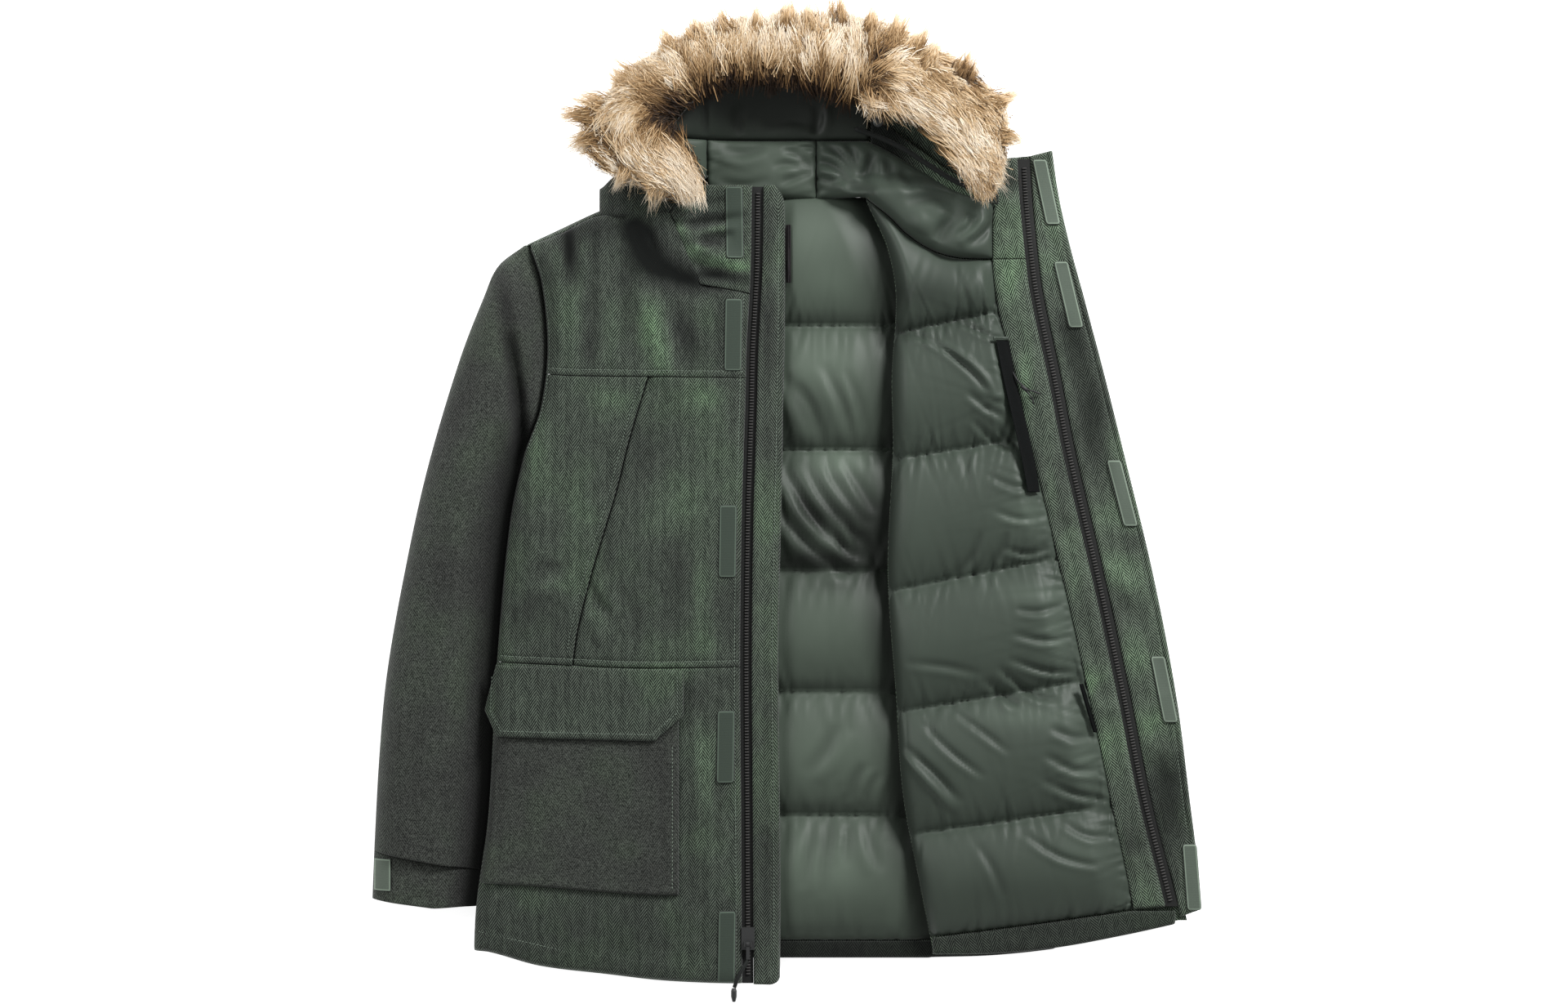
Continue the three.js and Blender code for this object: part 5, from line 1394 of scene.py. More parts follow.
LEFT_FOLDS = [
    (-4.5, 3.4, 1.8, (146, 234), (176, 226), (206, 204), (232, 176)),
    (4.1, 3.4, 0.0, (152, 232), (190, 220), (222, 196), (240, 168)),
    (-3.6, 3.1, 1.7, (200, 246), (226, 234), (252, 222)),
    (-3.4, 3.4, 1.7, (210, 176), (230, 160), (250, 150)),
    (-3.1, 3.4, 1.5, (214, 150), (238, 128), (262, 118)),
    (-3.8, 2.7, 1.7, (240, 140), (256, 126), (268, 112)),
    (-2.7, 3.4, 1.4, (228, 96), (254, 84), (278, 82)),
    (-2.9, 3.4, 1.4, (236, 60), (262, 52), (288, 54)),
    (-3.4, 3.4, 1.7, (246, 24), (270, 18), (292, 24)),
    (-2.9, 4.1, 1.4, (200, -6), (216, 16), (224, 40)),
    (-2.7, 4.1, 1.4, (232, 2), (244, 20), (250, 40)),
    (-3.4, 3.4, 1.7, (256, -36), (280, -38), (306, -30)),
    (-3.6, 3.4, 1.7, (254, -60), (284, -66), (314, -62)),
    (-3.8, 3.4, 2.0, (250, -84), (286, -96), (318, -98)),
    (-4.5, 3.4, 2.1, (240, -92), (272, -118), (300, -126)),
    (-4.1, 4.1, 2.0, (228, -104), (250, -124), (262, -130)),
    (-2.2, 4.1, 1.0, (150, -88), (190, -92), (226, -100)),
    (-4.8, 4.1, 2.2, (150, -170), (178, -196), (206, -226)),
    (4.2, 3.4, 0.0, (144, -176), (172, -206), (200, -236)),
    (-3.8, 3.4, 1.8, (166, -146), (196, -176), (228, -200)),
    (-3.4, 3.4, 1.7, (196, -134), (226, -156), (252, -176)),
    (-3.4, 4.1, 1.7, (290, -150), (312, -160), (334, -158)),
    (-3.6, 4.1, 1.7, (284, -176), (314, -192), (342, -192)),
    (-3.8, 4.1, 1.8, (280, -200), (316, -216), (348, -222)),
    (-3.4, 3.4, 1.7, (298, -240), (326, -256), (352, -258)),
    (-3.6, 3.4, 1.7, (262, -252), (300, -276), (340, -286)),
    (-2.9, 4.1, 1.4, (220, -262), (236, -290), (246, -318)),
]


def left_lining_height(x, y):
    seams = np.array([seam(x) for seam in left_seams])
    band = np.clip((y[None, :] >= seams).sum(0) - 1, 0, len(LEFT_SEAMS) - 1)
    pick = np.arange(x.size)
    t = (y - seams[band, pick]) / (seams[band + 1, pick] - seams[band, pick])
    width = lining_edge(y) - valley(y)
    u = (x - valley(y)) / width
    fill = mix(0.6, 1, ease(u / 0.14)) * ease((1 - u) / 0.17)
    z = open_layer(x, y) + mix(4, 24, baffle(t) * mix(0.22, 1, fill)) - 1.5
    for i, seam in enumerate(left_seams[:-1]):
        z += gathers(x, y, seam, 140, float(lining_edge(LEFT_SEAMS[i][1])), 30, 70 + i, reach=18, deep=2.0,
                     wide=2.6)
    return z + gathers(y, x, lining_edge, -350, 266, 80, 90, reach=26, deep=1.3, wide=2.5)


# Patches of painted shade (above 0) and painted light (below 0) on the lining of the left front.
LEFT_PAINTED_SHADING = [
    (192, 290, 30, 16, 0.16), (200, 232, 34, 10, 0.22), (268, 55, 24, 14, -0.42), (276, -20, 38, 10, -0.36),
    (298, -60, 18, 30, -0.34), (272, -140, 52, 12, -0.40), (326, -185, 20, 28, -0.36),
    (322, -270, 22, 18, -0.20), (166, 272, 30, 14, 0.45), (152, 236, 15, 10, 0.35),
    (240, -312, 66, 20, 0.22), (200, 245, 40, 6, 0.35),
]


def left_shade(x, y):
    return 0.55 * np.exp(-((x - valley(y)) / 7) ** 2) + painted_shading(x, y, *LEFT_PAINTED_SHADING)


left_lining = panel("front_left_lining_quilt", lining_open_painted_darker, shade=left_shade,
                    left=lambda y: valley(y) + SEAM_GAP, right=lambda y: lining_edge(y) - SEAM_GAP,
                    low=quilt_foot, high=lambda x: left_neck(x) - 0.3, size=(180, 690), spacing=2.8,
                    top=left_lining_height, folds=LEFT_FOLDS, edges=((13, 13), (4, 2), (3, 2), (4, 3)),
                    base=at_point(open_layer))
quilted(left_lining, "front_left_lining")


# ------------------------------------------------------------------ chest pocket
# A black mesh-lined pocket opens along the facing; a knotted cord pulls its zip.

def pocket_slit(y):
    return mix(238.5, 269, ease((228 - y) / 152) * 0.35 + np.clip((228 - y) / 152, 0, 1) * 0.65)


def slit_level(x, y):
    return open_layer(x, y) + mix(10.6, 21.8, ease((lining_edge(y) - x) / 16))


pocket_cloth = webbing("pocket mesh", (0.007, 0.008, 0.008), 0.08)
sewn("chest_pocket_opening", pocket_cloth, "chest_pocket_left", thick=0.8, slot="pocket_mesh",
     left=pocket_slit, right=lambda y: pocket_slit(y) + 13, low=78, high=227, size=(13, 149), spacing=2,
     top=lambda x, y: slit_level(x, y) + 1, edges=((1, 0.6),) * 4)
sewn("chest_pocket_welt", lining_open_painted_darker, thick=0.8, slot="lining", left=236, right=251, low=226, high=230,
     size=(15, 4), spacing=1.5, top=lambda x, y: slit_level(x, y) + 2.2, edges=((1, 1),) * 4)
sewn("side_pocket_slit", pocket_cloth, thick=0.6, slot="pocket_mesh",
     left=lambda y: 320 + (-109 - y) * 0.30, low=-156, high=-109, right=lambda y: 323.4 + (-109 - y) * 0.30,
     size=(3, 47), spacing=1.5, top=lambda x, y: slit_level(x, y) + 0.6, edges=((1, 0.6),) * 4)


def strip_tube(name, finish, points, radius, squash, count=60, sides=10, slot="shell"):
    """A binding or cord: a round section carried along a curve of (x, y, z) points."""
    line = route(points, count)
    run = np.gradient(line, axis=0)
    run /= np.linalg.norm(run, axis=1)[:, None]
    beside = np.cross(run, (0, 0, 1))
    beside /= np.linalg.norm(beside, axis=1)[:, None]
    over = np.cross(beside, run)

    def shape(u, v):
        i = np.rint(v * (count - 1)).astype(int)
        turn = 2 * math.pi * u
        ends = roll(np.minimum(i, count - 1 - i), 1.5)
        place = line[i] + (radius * ends * np.cos(turn))[:, None] * beside[i] \
            + (radius * squash * ends * np.sin(turn))[:, None] * over[i]
        return place[:, 0], place[:, 1], place[:, 2]
    piece = grid(name, finish, np.linspace(0, 1, sides + 1), np.linspace(0, 1, count), shape, closed=True)
    reform(piece.data, facing_out)
    on_jacket(piece, slot)


cord_finish = spun("black cord", (0.014, 0.014, 0.015), 0.55)
KNOT_Z = at_point(slit_level)(266.0, 179.0) + 3
# Each piece of the cord: its points, with heights from the knot, then radius, squash, steps and sides.
CHEST_CORD = {
    "loop": ([(255, 196, -3), (259, 188, 0), (266, 180, 0.6)], 0.8, 1.0, 16, 7),
    "knot": ([(263, 182.5, 0), (266.5, 179, 1), (270, 177, 0)], 1.9, 0.9, 12, 8),
    "end_upper": ([(268, 178, 0), (275, 176.5, -0.6), (283, 173.5, -1.6)], 0.8, 1.0, 14, 7),
    "end_lower": ([(267, 178, 0), (273, 171, -0.6), (276, 163.5, -1.6)], 0.8, 1.0, 14, 7),
}
for name, (points, radius, squash, steps, sides) in CHEST_CORD.items():
    strip_tube(f"chest_cord_{name}", cord_finish, [(x, y, KNOT_Z + z) for x, y, z in points], radius, squash,
               steps, sides, slot="cord")


# ------------------------------------------------------------------ hood
# The hood lies open on its crown: a shallow bowl of herringbone, lined with padded taffeta in
# panels. A black binding and a herringbone band edge the lining where the ruff is sewn on.

HOOD_X, HOOD_Y, HOOD_HALF, HOOD_DEEP, RIM_RISE = 64, 380, 158, 130, 26


def hood_radius(x, y):
    return np.hypot((x - HOOD_X) / HOOD_HALF, (y - HOOD_Y) / HOOD_DEEP)


def hood_bowl(x, y):
    return RIM_RISE * ease((hood_radius(x, y) - 0.62) / 0.38)


def hood_layer(x, y):
    on_back = (open_under(x, y) + 1) * (1 - ease((y - NECK_Y) / 26)) * ease((x - 64) / 50)
    clear = LAY_GAP + 3 * ease((hood_radius(x, y) - 0.5) / 0.3)
    return np.maximum(hood_bowl(x, y) + 2 + clear, on_back)


def hood_shape(u, v):
    angle = math.pi * mix(0.97, -0.02, u)
    rim_x = HOOD_X + 1.05 * HOOD_HALF * np.cos(angle) - 42 * (1 - ease(u / 0.3))
    rim_y = HOOD_Y + 1.10 * HOOD_DEEP * np.sin(angle)
    x, y = mix(mix(-64, 204, u), rim_x, v), mix(NECK_Y + 0.4, rim_y, v)
    return x, y, hood_bowl(x, y) + 1.9


hood_outside = grid("hood_outside", shell, np.linspace(0, 1, 49), np.linspace(0, 1, 21), hood_shape)
thicken(hood_outside, 1.7)
sew_in(hood_outside, "hood_outer")

CROWN_SEAM_Y = 425
binding = column((64, 426), (96, 430), (128, 419), (168, 395), (200, 374), (237, 362))


def puffed(u, v):
    return np.sqrt(np.maximum(0, (1 - np.abs(2 * u - 1) ** 4) * (1 - np.abs(2 * v - 1) ** 4)))


def gathers_beside(x, y, seam_x, count, seed, reach, deep):
    """Gathers that run out of an upright seam."""
    return gathers(y, x, flat_at(seam_x), 372, 424, count, seed, reach, 3.4, deep)


def hood_pad(name, node, finish, full, left, right, low, high, size, folds=(), shade=None, seams=()):
    """One padded panel of the hood's lining."""
    place = between(left, right, low, high)

    def shape(u, v):
        x, y, distances = place(u, v)
        creased = folded(x, y, folds)
        z = hood_layer(x, y) + mix(7, full, puffed(u, v)) - 1.2 + creased
        for edge, count, seed, reach, deep in seams:
            z = z + gathers_beside(x, y, edge, count, seed, reach, deep)
        for distance in distances:
            z = z - 2.5 * (1 - roll(distance, 4))
        # Painted shade in the colour: deepest in folds, with the piece's own painted shade or light added.
        deep = crease_shade(creased, 0.6) + (shade(x, y) if shade else 0)
        return x, y, z, np.minimum.reduce(distances), np.clip(deep, -1, 1)
    piece = grid(name, finish, spread(size[0], 2.6), spread(size[1], 2.6), shape,
                 base=lambda x, y: at_point(hood_layer)(x, y) + 0.2)
    quilted(piece, node)


hood_pad("hood_lining_middle", "hood_lining_centre", lining, 16, -44, 64, NECK_Y - 2, CROWN_SEAM_Y, (108, 54),
         folds=[(-3.2, 6, 2, (-30, 416), (-8, 412), (14, 418)), (-2.8, 5, 2, (20, 398), (38, 402), (56, 396)),
                (-3, 5, 2, (-34, 384), (-10, 380), (20, 386)), (-3.5, 4, 2, (30, 416), (46, 410), (60, 398)),
                (-3.5, 4, 2, (28, 382), (44, 388), (60, 392))],
         seams=[(64, 9, 91, 15, 2.6), (-44, 7, 92, 11, 2.0)])
hood_pad("hood_lining_right", "hood_lining_right_side", lining, 13,
         lambda y: HOOD_X - HOOD_HALF * 0.9 * np.sqrt(1 - ((y - HOOD_Y) / HOOD_DEEP) ** 2), -44, 388,
         CROWN_SEAM_Y, (34, 37))


def hood_reach(x):
    across = (x - HOOD_X) / HOOD_HALF
    return HOOD_Y + HOOD_DEEP * np.sqrt(np.maximum(0.15, 1 - across ** 2))


hood_pad("hood_lining_crown", "hood_crown", lining, 12, -88, 116, CROWN_SEAM_Y + 0.6,
         lambda x: hood_reach(x) - 2, (188, 70),
         folds=[(-4, 3, 1.5, (-45, 428), (-46, 450), (-48, 470)),
                (-3, 8, 1, (10, 440), (40, 446), (70, 438)), (-4, 5, 2, (62, 430), (66, 446), (64, 462)),
                (-3, 6, 1.5, (-10, 430), (-14, 446), (-8, 460))],
         shade=lambda x, y: 0.80 + 0.2 * ease((y - 428) / 24))

SIDE_FOLDS = [
    (-5.1, 4.5, 2.8, (66, 404), (82, 398), (96, 382)),
    (-5.1, 4.5, 2.8, (70, 420), (88, 410), (104, 384)),
    (-4.4, 4.5, 2.8, (92, 426), (102, 406), (108, 384)),
    (-6.1, 5.4, 3.5, (120, 414), (114, 396), (110, 380)),
    (-7.6, 7.2, 1.4, (92, 378), (106, 376), (122, 372)),
    (-3.7, 5.4, 2.1, (132, 408), (136, 394), (134, 380)),
    (-3.4, 6.3, 1.7, (148, 398), (152, 384), (160, 374)),
    (-4.1, 7.2, 1.7, (150, 362), (176, 366), (200, 360)),
    (5.1, 6.3, 0.0, (224, 360), (228, 344), (214, 328), (200, 322)),
    (-6.8, 4.5, 2.8, (231, 356), (232, 340), (220, 326), (208, 320)),
    (-5.1, 4.5, 2.8, (218, 350), (214, 336), (200, 326)),
    (-4.1, 6.3, 2.2, (196, 346), (186, 336), (180, 324)),
    (3.7, 7.2, 0.0, (170, 350), (164, 340), (160, 332)),
]


def left_side_foot(x):
    return np.where(x < 108, NECK_Y - 2, left_neck(x) + 0.6)


hood_pad("hood_lining_left", "hood_lining_left_side", lining_open_painted_darker, 23, 64, lining_edge, left_side_foot,
         lambda x: np.where(x < 117, np.minimum(binding(x), CROWN_SEAM_Y), binding(x)), (172, 54),
         folds=SIDE_FOLDS,
         shade=lambda x, y: painted_shading(x, y, (192, 354, 30, 16, -0.40), (216, 334, 12, 14, -0.25),
                                 (92, 404, 16, 10, -0.15), (136, 384, 16, 10, 0.25),
                                 (230, 350, 8, 16, 0.2)),
         seams=[(64, 10, 93, 18, 3.0)])

sewn("hood_edge_herringbone", shell, "hood_edge_band",
     shade=lambda x, y: swell(x, 138, 184, 0.9, -0.3) + 0.9 * ease((x - 226) / 8), left=118,
     right=242, low=lambda x: binding(x) - 2.5,
     high=lambda x: binding(x) + ramp(x, 120, 230, 24, 12), size=(114, 22), spacing=2.2,
     top=lambda x, y: hood_layer(x, y) + mix(10.6, 14.6, np.clip((y - binding(x)) / 20, 0, 1)),
     edges=((3, 2), (3, 2), (2, 1.5), (5, 4)))

black_binding = webbing("black binding", (0.016, 0.019, 0.017))
binding_line = [(100, 434, 40), (128, 424, 38), (152, 412, 39), (176, 396, 42), (200, 381, 47),
                (226, 371, 52)]
strip_tube("hood_binding", black_binding, binding_line, 2.6, 0.7)

snap_metal = spun("hood snap", (0.045, 0.048, 0.046), 0.35)
snap = bmesh.new()
bmesh.ops.create_uvsphere(snap, u_segments=24, v_segments=12, radius=1)
bmesh.ops.scale(snap, vec=(0.0052, 0.0052, 0.0022), verts=snap.verts)
bmesh.ops.translate(snap, vec=(0.124, 0.440, 0.041), verts=snap.verts)
on_jacket(shown(mesh_of(snap, "hood_snap"), snap_metal, smooth=False), "hardware")


# ------------------------------------------------------------------ fur ruff
# Long-pile imitation fur on a strip buttoned round the hood's opening: dense dark underfur,
# and pale-tipped guard hairs that gather into points and fall outwards and down.

# Stations along the ruff: its inner edge's x and y, its outer edge's, its base and its height.
RUFF = [
    (-59, 374, -68, 367, 40.3, 22), (-57, 388, -104, 378, 40.3, 38), (-59, 402, -144, 394, 40.3, 46),
    (-67, 416, -164, 410, 40.3, 48), (-75, 430, -166, 434, 40.3, 49), (-78, 444, -146, 456, 40, 50),
    (-66, 456, -124, 480, 40, 52), (-46, 465, -92, 506, 40, 53), (-10, 470, -40, 534, 40, 54),
    (44, 466, 40, 546, 40, 54), (84, 454, 112, 542, 40, 54), (122, 447, 168, 518, 42, 53),
    (158, 440, 212, 492, 46, 50), (182, 422, 246, 454, 50, 46), (198, 400, 248, 420, 54, 40),
    (212, 384, 238, 390, 56, 32), (222, 372, 230, 374, 57, 20),
]
ruff_at = [column(*[(i / (len(RUFF) - 1), row[k]) for i, row in enumerate(RUFF)]) for k in range(6)]

fur = Finish("fur", Roughness=0.62,
             **{"Sheen Weight": 0.04, "Sheen Roughness": 0.4, "Specular IOR Level": 0.25})
along = fur.mark("along")
tone = fur.mark("tone")
fur.feed("Base Color", fur.node("ShaderNodeValToRGB", along * 0.62 + tone * 0.62 - 0.12, stops=[
    (0.0, (0.020, 0.011, 0.006)), (0.20, (0.10, 0.052, 0.021)), (0.36, (0.29, 0.166, 0.066)),
    (0.52, (0.58, 0.39, 0.205)), (0.70, (0.82, 0.64, 0.42)), (0.88, (0.95, 0.84, 0.68))]))


def pelt_height(across, base, height):
    return base + 10 + (height - 10) * 0.55 * np.sin(math.pi * np.clip(across, 0, 1)) ** 0.8


def pelt_shape(u, v):
    inner_x, inner_y, outer_x, outer_y, base, height = [line(v) for line in ruff_at]
    across = 0.06 + 0.80 * np.where(u <= 0.5, 2 * u, 2 - 2 * u)
    z = np.where(u <= 0.5, pelt_height(across, base, height) - 4, base + 2)
    z = np.where((u < 0.02) | (u > 0.98) | (np.abs(u - 0.5) < 0.02), base + 6, z)
    return mix(inner_x, outer_x, across), mix(inner_y, outer_y, across), z


def close_ends(form):
    bmesh.ops.holes_fill(form, edges=[edge for edge in form.edges if edge.is_boundary], sides=0)
    facing_out(form)


underfur = spun("underfur", (0.060, 0.034, 0.019), 0.9, 0.5)
pelt = grid("ruff_backing", underfur, np.linspace(0, 1, 41), np.linspace(0.015, 0.985, 120), pelt_shape,
            closed=True)
reform(pelt.data, close_ends)
on_jacket(pelt, "fur", "fur_ruff")

# How the pile is combed: at each place, the way the hairs point, in degrees from +X.
COMB = np.array([
    (-172, 440, 178), (-163, 428, 206), (-148, 402, 300), (-122, 378, 296), (-92, 370, 304), (-60, 370, 300),
    (-150, 432, 310), (-135, 416, 318), (-118, 402, 322), (-98, 394, 324), (-84, 384, 318), (-66, 392, 310),
    (-95, 416, 318), (-122, 428, 312), (-106, 440, 220), (-129, 468, 156), (-147, 453, 170), (-114, 499, 134),
    (-83, 518, 116), (-46, 523, 104), (0, 523, 98), (36, 523, 92), (85, 529, 86), (118, 520, 74),
    (140, 508, 46), (206, 502, 36), (236, 462, -8), (246, 436, -20), (240, 412, -48), (226, 392, -66),
    (204, 404, -70), (184, 432, -58), (166, 474, -30), (-31, 484, 92), (30, 488, 92), (91, 470, 92),
    (122, 459, -76), (-92, 462, 150), (144, 456, -56), (60, 470, 90), (197, 424, -62), (216, 444, -40),
    (150, 482, -26), (184, 480, -14), (200, 462, -32), (100, 500, 88), (-60, 500, 108), (-100, 484, 138),
], float)
# Where the pile's tone is darker, or lighter below 0: partly its darker underfur where it parts, partly
# painted shade and painted light. Centre, reach along X and Y, and how dark.
PARTED_AND_SHADED = [(118, 496, 9, 34, 0.62), (212, 482, 8, 18, 0.60), (-92, 446, 16, 22, 0.35),
         (-112, 436, 12, 12, 0.3), (-168, 442, 12, 5, 0.45), (88, 546, 7, 10, 0.4), (-60, 508, 8, 22, 0.2),
         (20, 476, 60, 9, 0.3), (-30, 478, 40, 9, 0.3), (76, 466, 26, 12, 0.3), (-150, 424, 14, 4, 0.3),
         (236, 392, 12, 5, 0.2), (-80, 466, 22, 14, 0.30), (-105, 502, 24, 20, -0.20),
         (30, 514, 60, 12, -0.16), (166, 470, 22, 30, -0.20), (-150, 446, 20, 12, -0.10),
         (-100, 392, 26, 12, -0.14), (226, 416, 14, 20, 0.14), (60, 520, 8, 24, 0.16),
         (150, 470, 8, 20, 0.18), (-14, 530, 6, 14, 0.22), (180, 504, 8, 8, 0.3)]


def combed(x, y):
    weight = 1 / ((x[:, None] - COMB[:, 0]) ** 2 + (y[:, None] - COMB[:, 1]) ** 2 + 60) ** 1.6
    angle = np.radians(COMB[:, 2])
    return np.arctan2((weight * np.sin(angle)).sum(1), (weight * np.cos(angle)).sum(1))


def parted_and_shaded(x, y):
    return sum(dark * np.exp(-((x - px) / rx) ** 2 - ((y - py) / ry) ** 2) for px, py, rx, ry, dark in PARTED_AND_SHADED)


SWATH_WAVES = 5


def swath(x, y, seed, length):
    """A smooth unevenness from about -1 to 1, for locks that lie together."""
    chance = np.random.default_rng(seed)
    total = np.zeros(np.shape(x))
    for _ in range(SWATH_WAVES):
        turn, size = chance.uniform(0, 2 * math.pi), length * chance.uniform(0.7, 1.6)
        total += np.sin(2 * math.pi * (x * math.cos(turn) + y * math.sin(turn)) / size
                        + chance.uniform(0, 6.3))
    return total / math.sqrt(SWATH_WAVES)


STRIDE = 5.0


def with_the_lie(x, y, seed, size, steps=6):
    """The same unevenness drawn out along the lie of the hair."""
    total, count = swath(x, y, seed, size), 1
    for way in (-1, 1):
        px, py = x, y
        for _ in range(steps):
            heading = combed(px, py)
            px, py = px + way * STRIDE * np.cos(heading), py + way * STRIDE * np.sin(heading)
            total, count = total + swath(px, py, seed, size), count + 1
    return 2.2 * total / count


BENDS = 3     # pieces of each hair
edge_of_ruff = np.array([row[2:4] for row in RUFF] + [row[:2] for row in reversed(RUFF)], float)


def inside_ruff(x, y):
    crossings = np.zeros(x.shape, int)
    for (ax, ay), (bx, by) in zip(edge_of_ruff, np.roll(edge_of_ruff, -1, axis=0)):
        crossings += ((ay > y) != (by > y)) & (x < (bx - ax) * (y - ay) / (by - ay + 1e-9) + ax)
    return crossings % 2 == 1


LONGEST_HAIR = 60


def room_to_edge(x, y, heading):
    """How far a hair can run along its heading before it leaves the ruff."""
    reach = np.zeros(x.shape)
    free = np.ones(x.shape, bool)
    for step in np.arange(2, LONGEST_HAIR, 2.0):
        free &= inside_ruff(x + step * np.cos(heading), y + step * np.sin(heading))
        reach = np.where(free, step, reach)
    return reach


# Long wisps that stand out past the rest: where each starts, its heading, its length and its tone.
WISPS = [
    (34, 520, 84, 40, 0.42), (88, 522, 88, 40, 0.30), (136, 512, 70, 38, 0.48), (202, 474, 62, 32, 0.22),
    (-150, 442, 178, 40, 0.40), (-140, 452, 160, 34, 0.58), (-112, 474, 146, 30, 0.60),
    (-72, 502, 118, 34, 0.62), (-24, 520, 104, 28, 0.44), (60, 520, 96, 32, 0.60), (112, 518, 78, 32, 0.36),
    (170, 492, 62, 30, 0.60), (232, 452, 20, 30, 0.62), (236, 424, -10, 26, 0.58),
    (-70, 382, 300, 26, 0.66), (-58, 386, 290, 28, 0.70), (-90, 382, 262, 24, 0.60),
    (-120, 396, 236, 26, 0.56), (226, 402, -52, 30, 0.62), (212, 404, -64, 34, 0.66),
    (8, 518, 96, 30, 0.52), (-48, 512, 110, 30, 0.58), (-150, 424, 196, 30, 0.50), (154, 500, 62, 34, 0.44),
]


def hair_strips(name, places, levels, beside, width, tones):
    """One strip for each hair, bent from its root over its middle to its tip, where it narrows."""
    tracks = 2 * len(width) - 1
    form = bmesh.new()
    bmesh.ops.create_grid(form, x_segments=tracks, y_segments=BENDS, size=0.5)
    between_hairs = [face for face in form.faces
                     if int(round((face.calc_center_median().x + 0.5) * tracks - 0.5)) % 2]
    bmesh.ops.delete(form, geom=between_hairs, context="FACES_ONLY")
    mesh = mesh_of(form, name)
    co = points_of(mesh)
    track = np.rint((co[:, 0] + 0.5) * tracks).astype(int)
    hair, hand = track // 2, (track % 2) * 2 - 1
    t = co[:, 1] + 0.5
    shares = (1 - t) ** 2, 2 * t * (1 - t), t ** 2
    flat = sum(share[:, None] * place[hair] for share, place in zip(shares, places))
    z = sum(share * level[hair] for share, level in zip(shares, levels))
    half = 0.5 * width[hair] * (1 - 0.86 * t ** 1.5) * hand
    flat = flat + half[:, None] * beside[hair]
    z = z + half * 0.5 * np.sin(hair * 2.4)
    mesh.vertices.foreach_set("co", (np.column_stack([flat, z]) / 1000).ravel())
    mark_points(mesh, "along", t)
    mark_points(mesh, "tone", tones[hair])
    mesh.update()
    on_jacket(shown(mesh, fur), "fur")


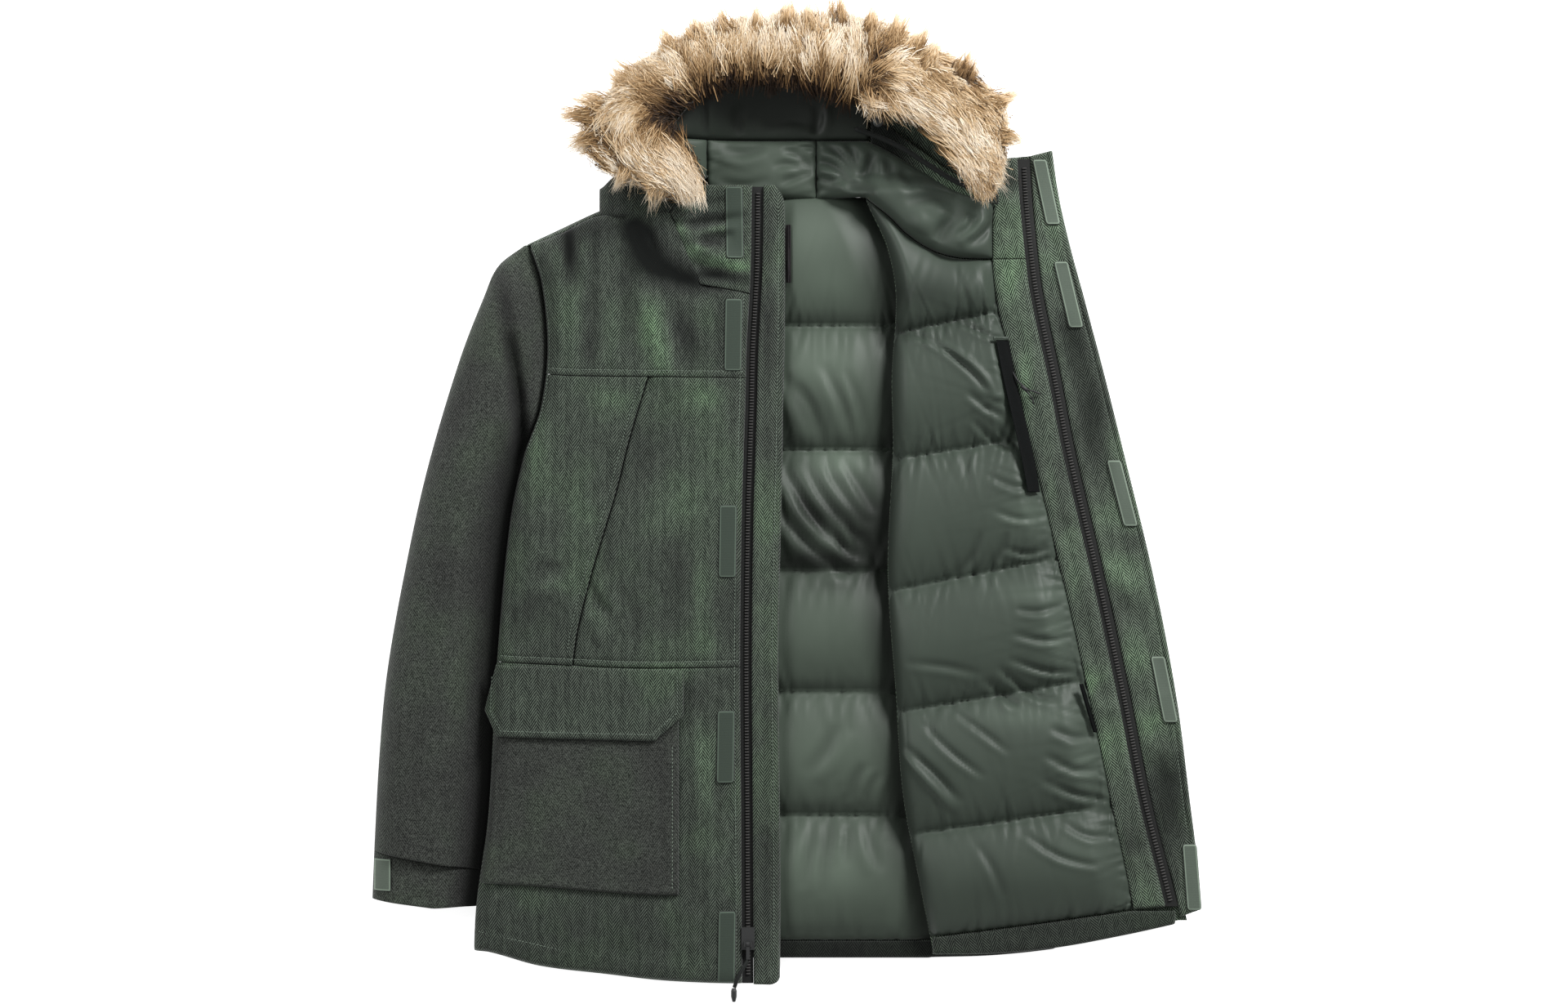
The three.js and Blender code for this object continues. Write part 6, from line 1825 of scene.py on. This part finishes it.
def pile(name, hairs, seed, reach, rise, tuft, shift, spread_root, outside, wisps=()):
    """A piece of the pile: hairs in locks that draw to a point; each is a narrow strip."""
    chance = np.random.default_rng(seed)
    tufts = hairs // tuft
    station = (np.arange(tufts) + chance.random(tufts)) / tufts
    across = chance.random(tufts) ** 0.85 * 0.92
    inner_x, inner_y, outer_x, outer_y, base, height = [line(station) for line in ruff_at]
    x, y = mix(inner_x, outer_x, across), mix(inner_y, outer_y, across)
    wide = np.hypot(outer_x - inner_x, outer_y - inner_y)
    heading = combed(x, y) + chance.normal(0, 0.07, tufts) + 0.24 * swath(x, y, 11, 50)
    length = reach * np.clip(chance.normal(1, 0.13, tufts) + 0.12 * swath(x, y, 12, 26), 0.4, 1.5)
    length = np.minimum(length, np.maximum(room_to_edge(x, y, heading) + chance.uniform(*outside, tufts), 9))
    dark = parted_and_shaded(x, y)
    # Locks lie higher and paler together: partly the fur's own tone from lock to lock, partly a painted
    # highlight on their crests and painted shade between them.
    lock = with_the_lie(x, y, 13, 22)
    streak = 0.42 * lock + 0.19 * with_the_lie(x, y, 14, 11, 4) - 0.36 * np.exp(-(across / 0.17) ** 2)
    tuft_tone = chance.normal(0.585, 0.08, tufts) + 0.34 * across - dark + shift + streak
    for wisp_x, wisp_y, way, long, colour in wisps:
        near = np.argsort(np.hypot(x - wisp_x, y - wisp_y))[:3]
        x[near], y[near] = wisp_x + chance.normal(0, 2.5, 3), wisp_y + chance.normal(0, 2.5, 3)
        heading[near] = math.radians(way) + chance.normal(0, 0.07, 3)
        length[near], tuft_tone[near] = long * np.array([1, 0.86, 0.74]), colour + shift
    curl = chance.normal(0, 0.16, tufts) * length

    owner = np.repeat(np.arange(tufts), tuft)
    n = owner.size
    root = np.stack([x[owner], y[owner]], 1) + chance.normal(0, spread_root, (n, 2))
    loose = np.where(chance.random(n) < 0.6, np.where(across[owner] > 0.55, 2.6, 4.2), 1.3)[:, None]
    own_length = length[owner] * np.clip(chance.normal(0.96, 0.14, n), 0.4, 1.25)
    way = heading[owner] + chance.normal(0, 0.04, n)
    tip = np.stack([x[owner], y[owner]], 1) + own_length[:, None] * np.stack([np.cos(way), np.sin(way)], 1) \
        + chance.normal(0, 1, (n, 2)) * loose
    beside = np.stack([-np.sin(way), np.cos(way)], 1)
    surface = pelt_height(across, base, height)[owner] - 3
    tip_across = across[owner] + own_length / np.maximum(wide[owner], 20) * 0.8
    lie = pelt_height(np.clip(tip_across, 0, 1), base[owner], height[owner]) - 3
    lie = np.where(tip_across > 1, lie - 14 * (tip_across - 1) / 0.4, lie)
    lie = np.maximum(lie, base[owner] + 2)
    together = 2.4 * np.clip(lock, -1.2, 1.2)[owner]
    crest = np.maximum(surface, lie) + rise * chance.uniform(0.5, 1.25, n) + together
    middle = mix(root, tip, 0.45) + chance.normal(0, 1.4, (n, 2)) + curl[owner][:, None] * beside
    tone_here = tuft_tone[owner] + chance.normal(0, 0.10, n)
    width = chance.uniform(0.45, 0.95, n)
    hair_strips(name, (root, middle, tip), (surface, crest, lie), beside, width, tone_here)


pile("fur_underlayer", 13000, 5, 28, 3, tuft=24, shift=-0.22, spread_root=5, outside=(-7, -1))
pile("fur_lower", 20000, 6, 40, 6, tuft=30, shift=0.02, spread_root=4.4, outside=(-3, 3), wisps=WISPS)
pile("fur_upper", 28000, 7, 50, 8, tuft=32, shift=0.12, spread_root=4.8, outside=(-5, 5), wisps=WISPS)


# ------------------------------------------------------------------ zip slider, pull and table
# The slider and its hinged pull are die-cast and painted black; a doubled cord with a moulded
# end makes the pull easy to find in gloves. The table top is plain and white.

painted_metal = spun("painted metal", (0.035, 0.036, 0.036), 0.38)
moulded = spun("moulded cord end", (0.028, 0.030, 0.030), 0.5)
for name, finish in (("zip_slider", painted_metal), ("zip_pull", painted_metal),
                     ("zip_pull_cord", black_binding), ("zip_pull_end", moulded)):
    nodes[name].data.materials.clear()
    nodes[name].data.materials.append(finish.material)

top = bmesh.new()
bmesh.ops.create_grid(top, x_segments=2, y_segments=2, size=3)
bmesh.ops.translate(top, vec=(0, 0, -0.0003), verts=top.verts)
white = Finish("white table", Roughness=0.9, **{"Emission Color": (1, 1, 1, 1), "Emission Strength": 0.8})
white.feed("Base Color", white.mix(white.noise(0.3, 2), (0.93, 0.93, 0.93), (0.96, 0.96, 0.96)))
shown(mesh_of(top, "table_top"), white, smooth=False)
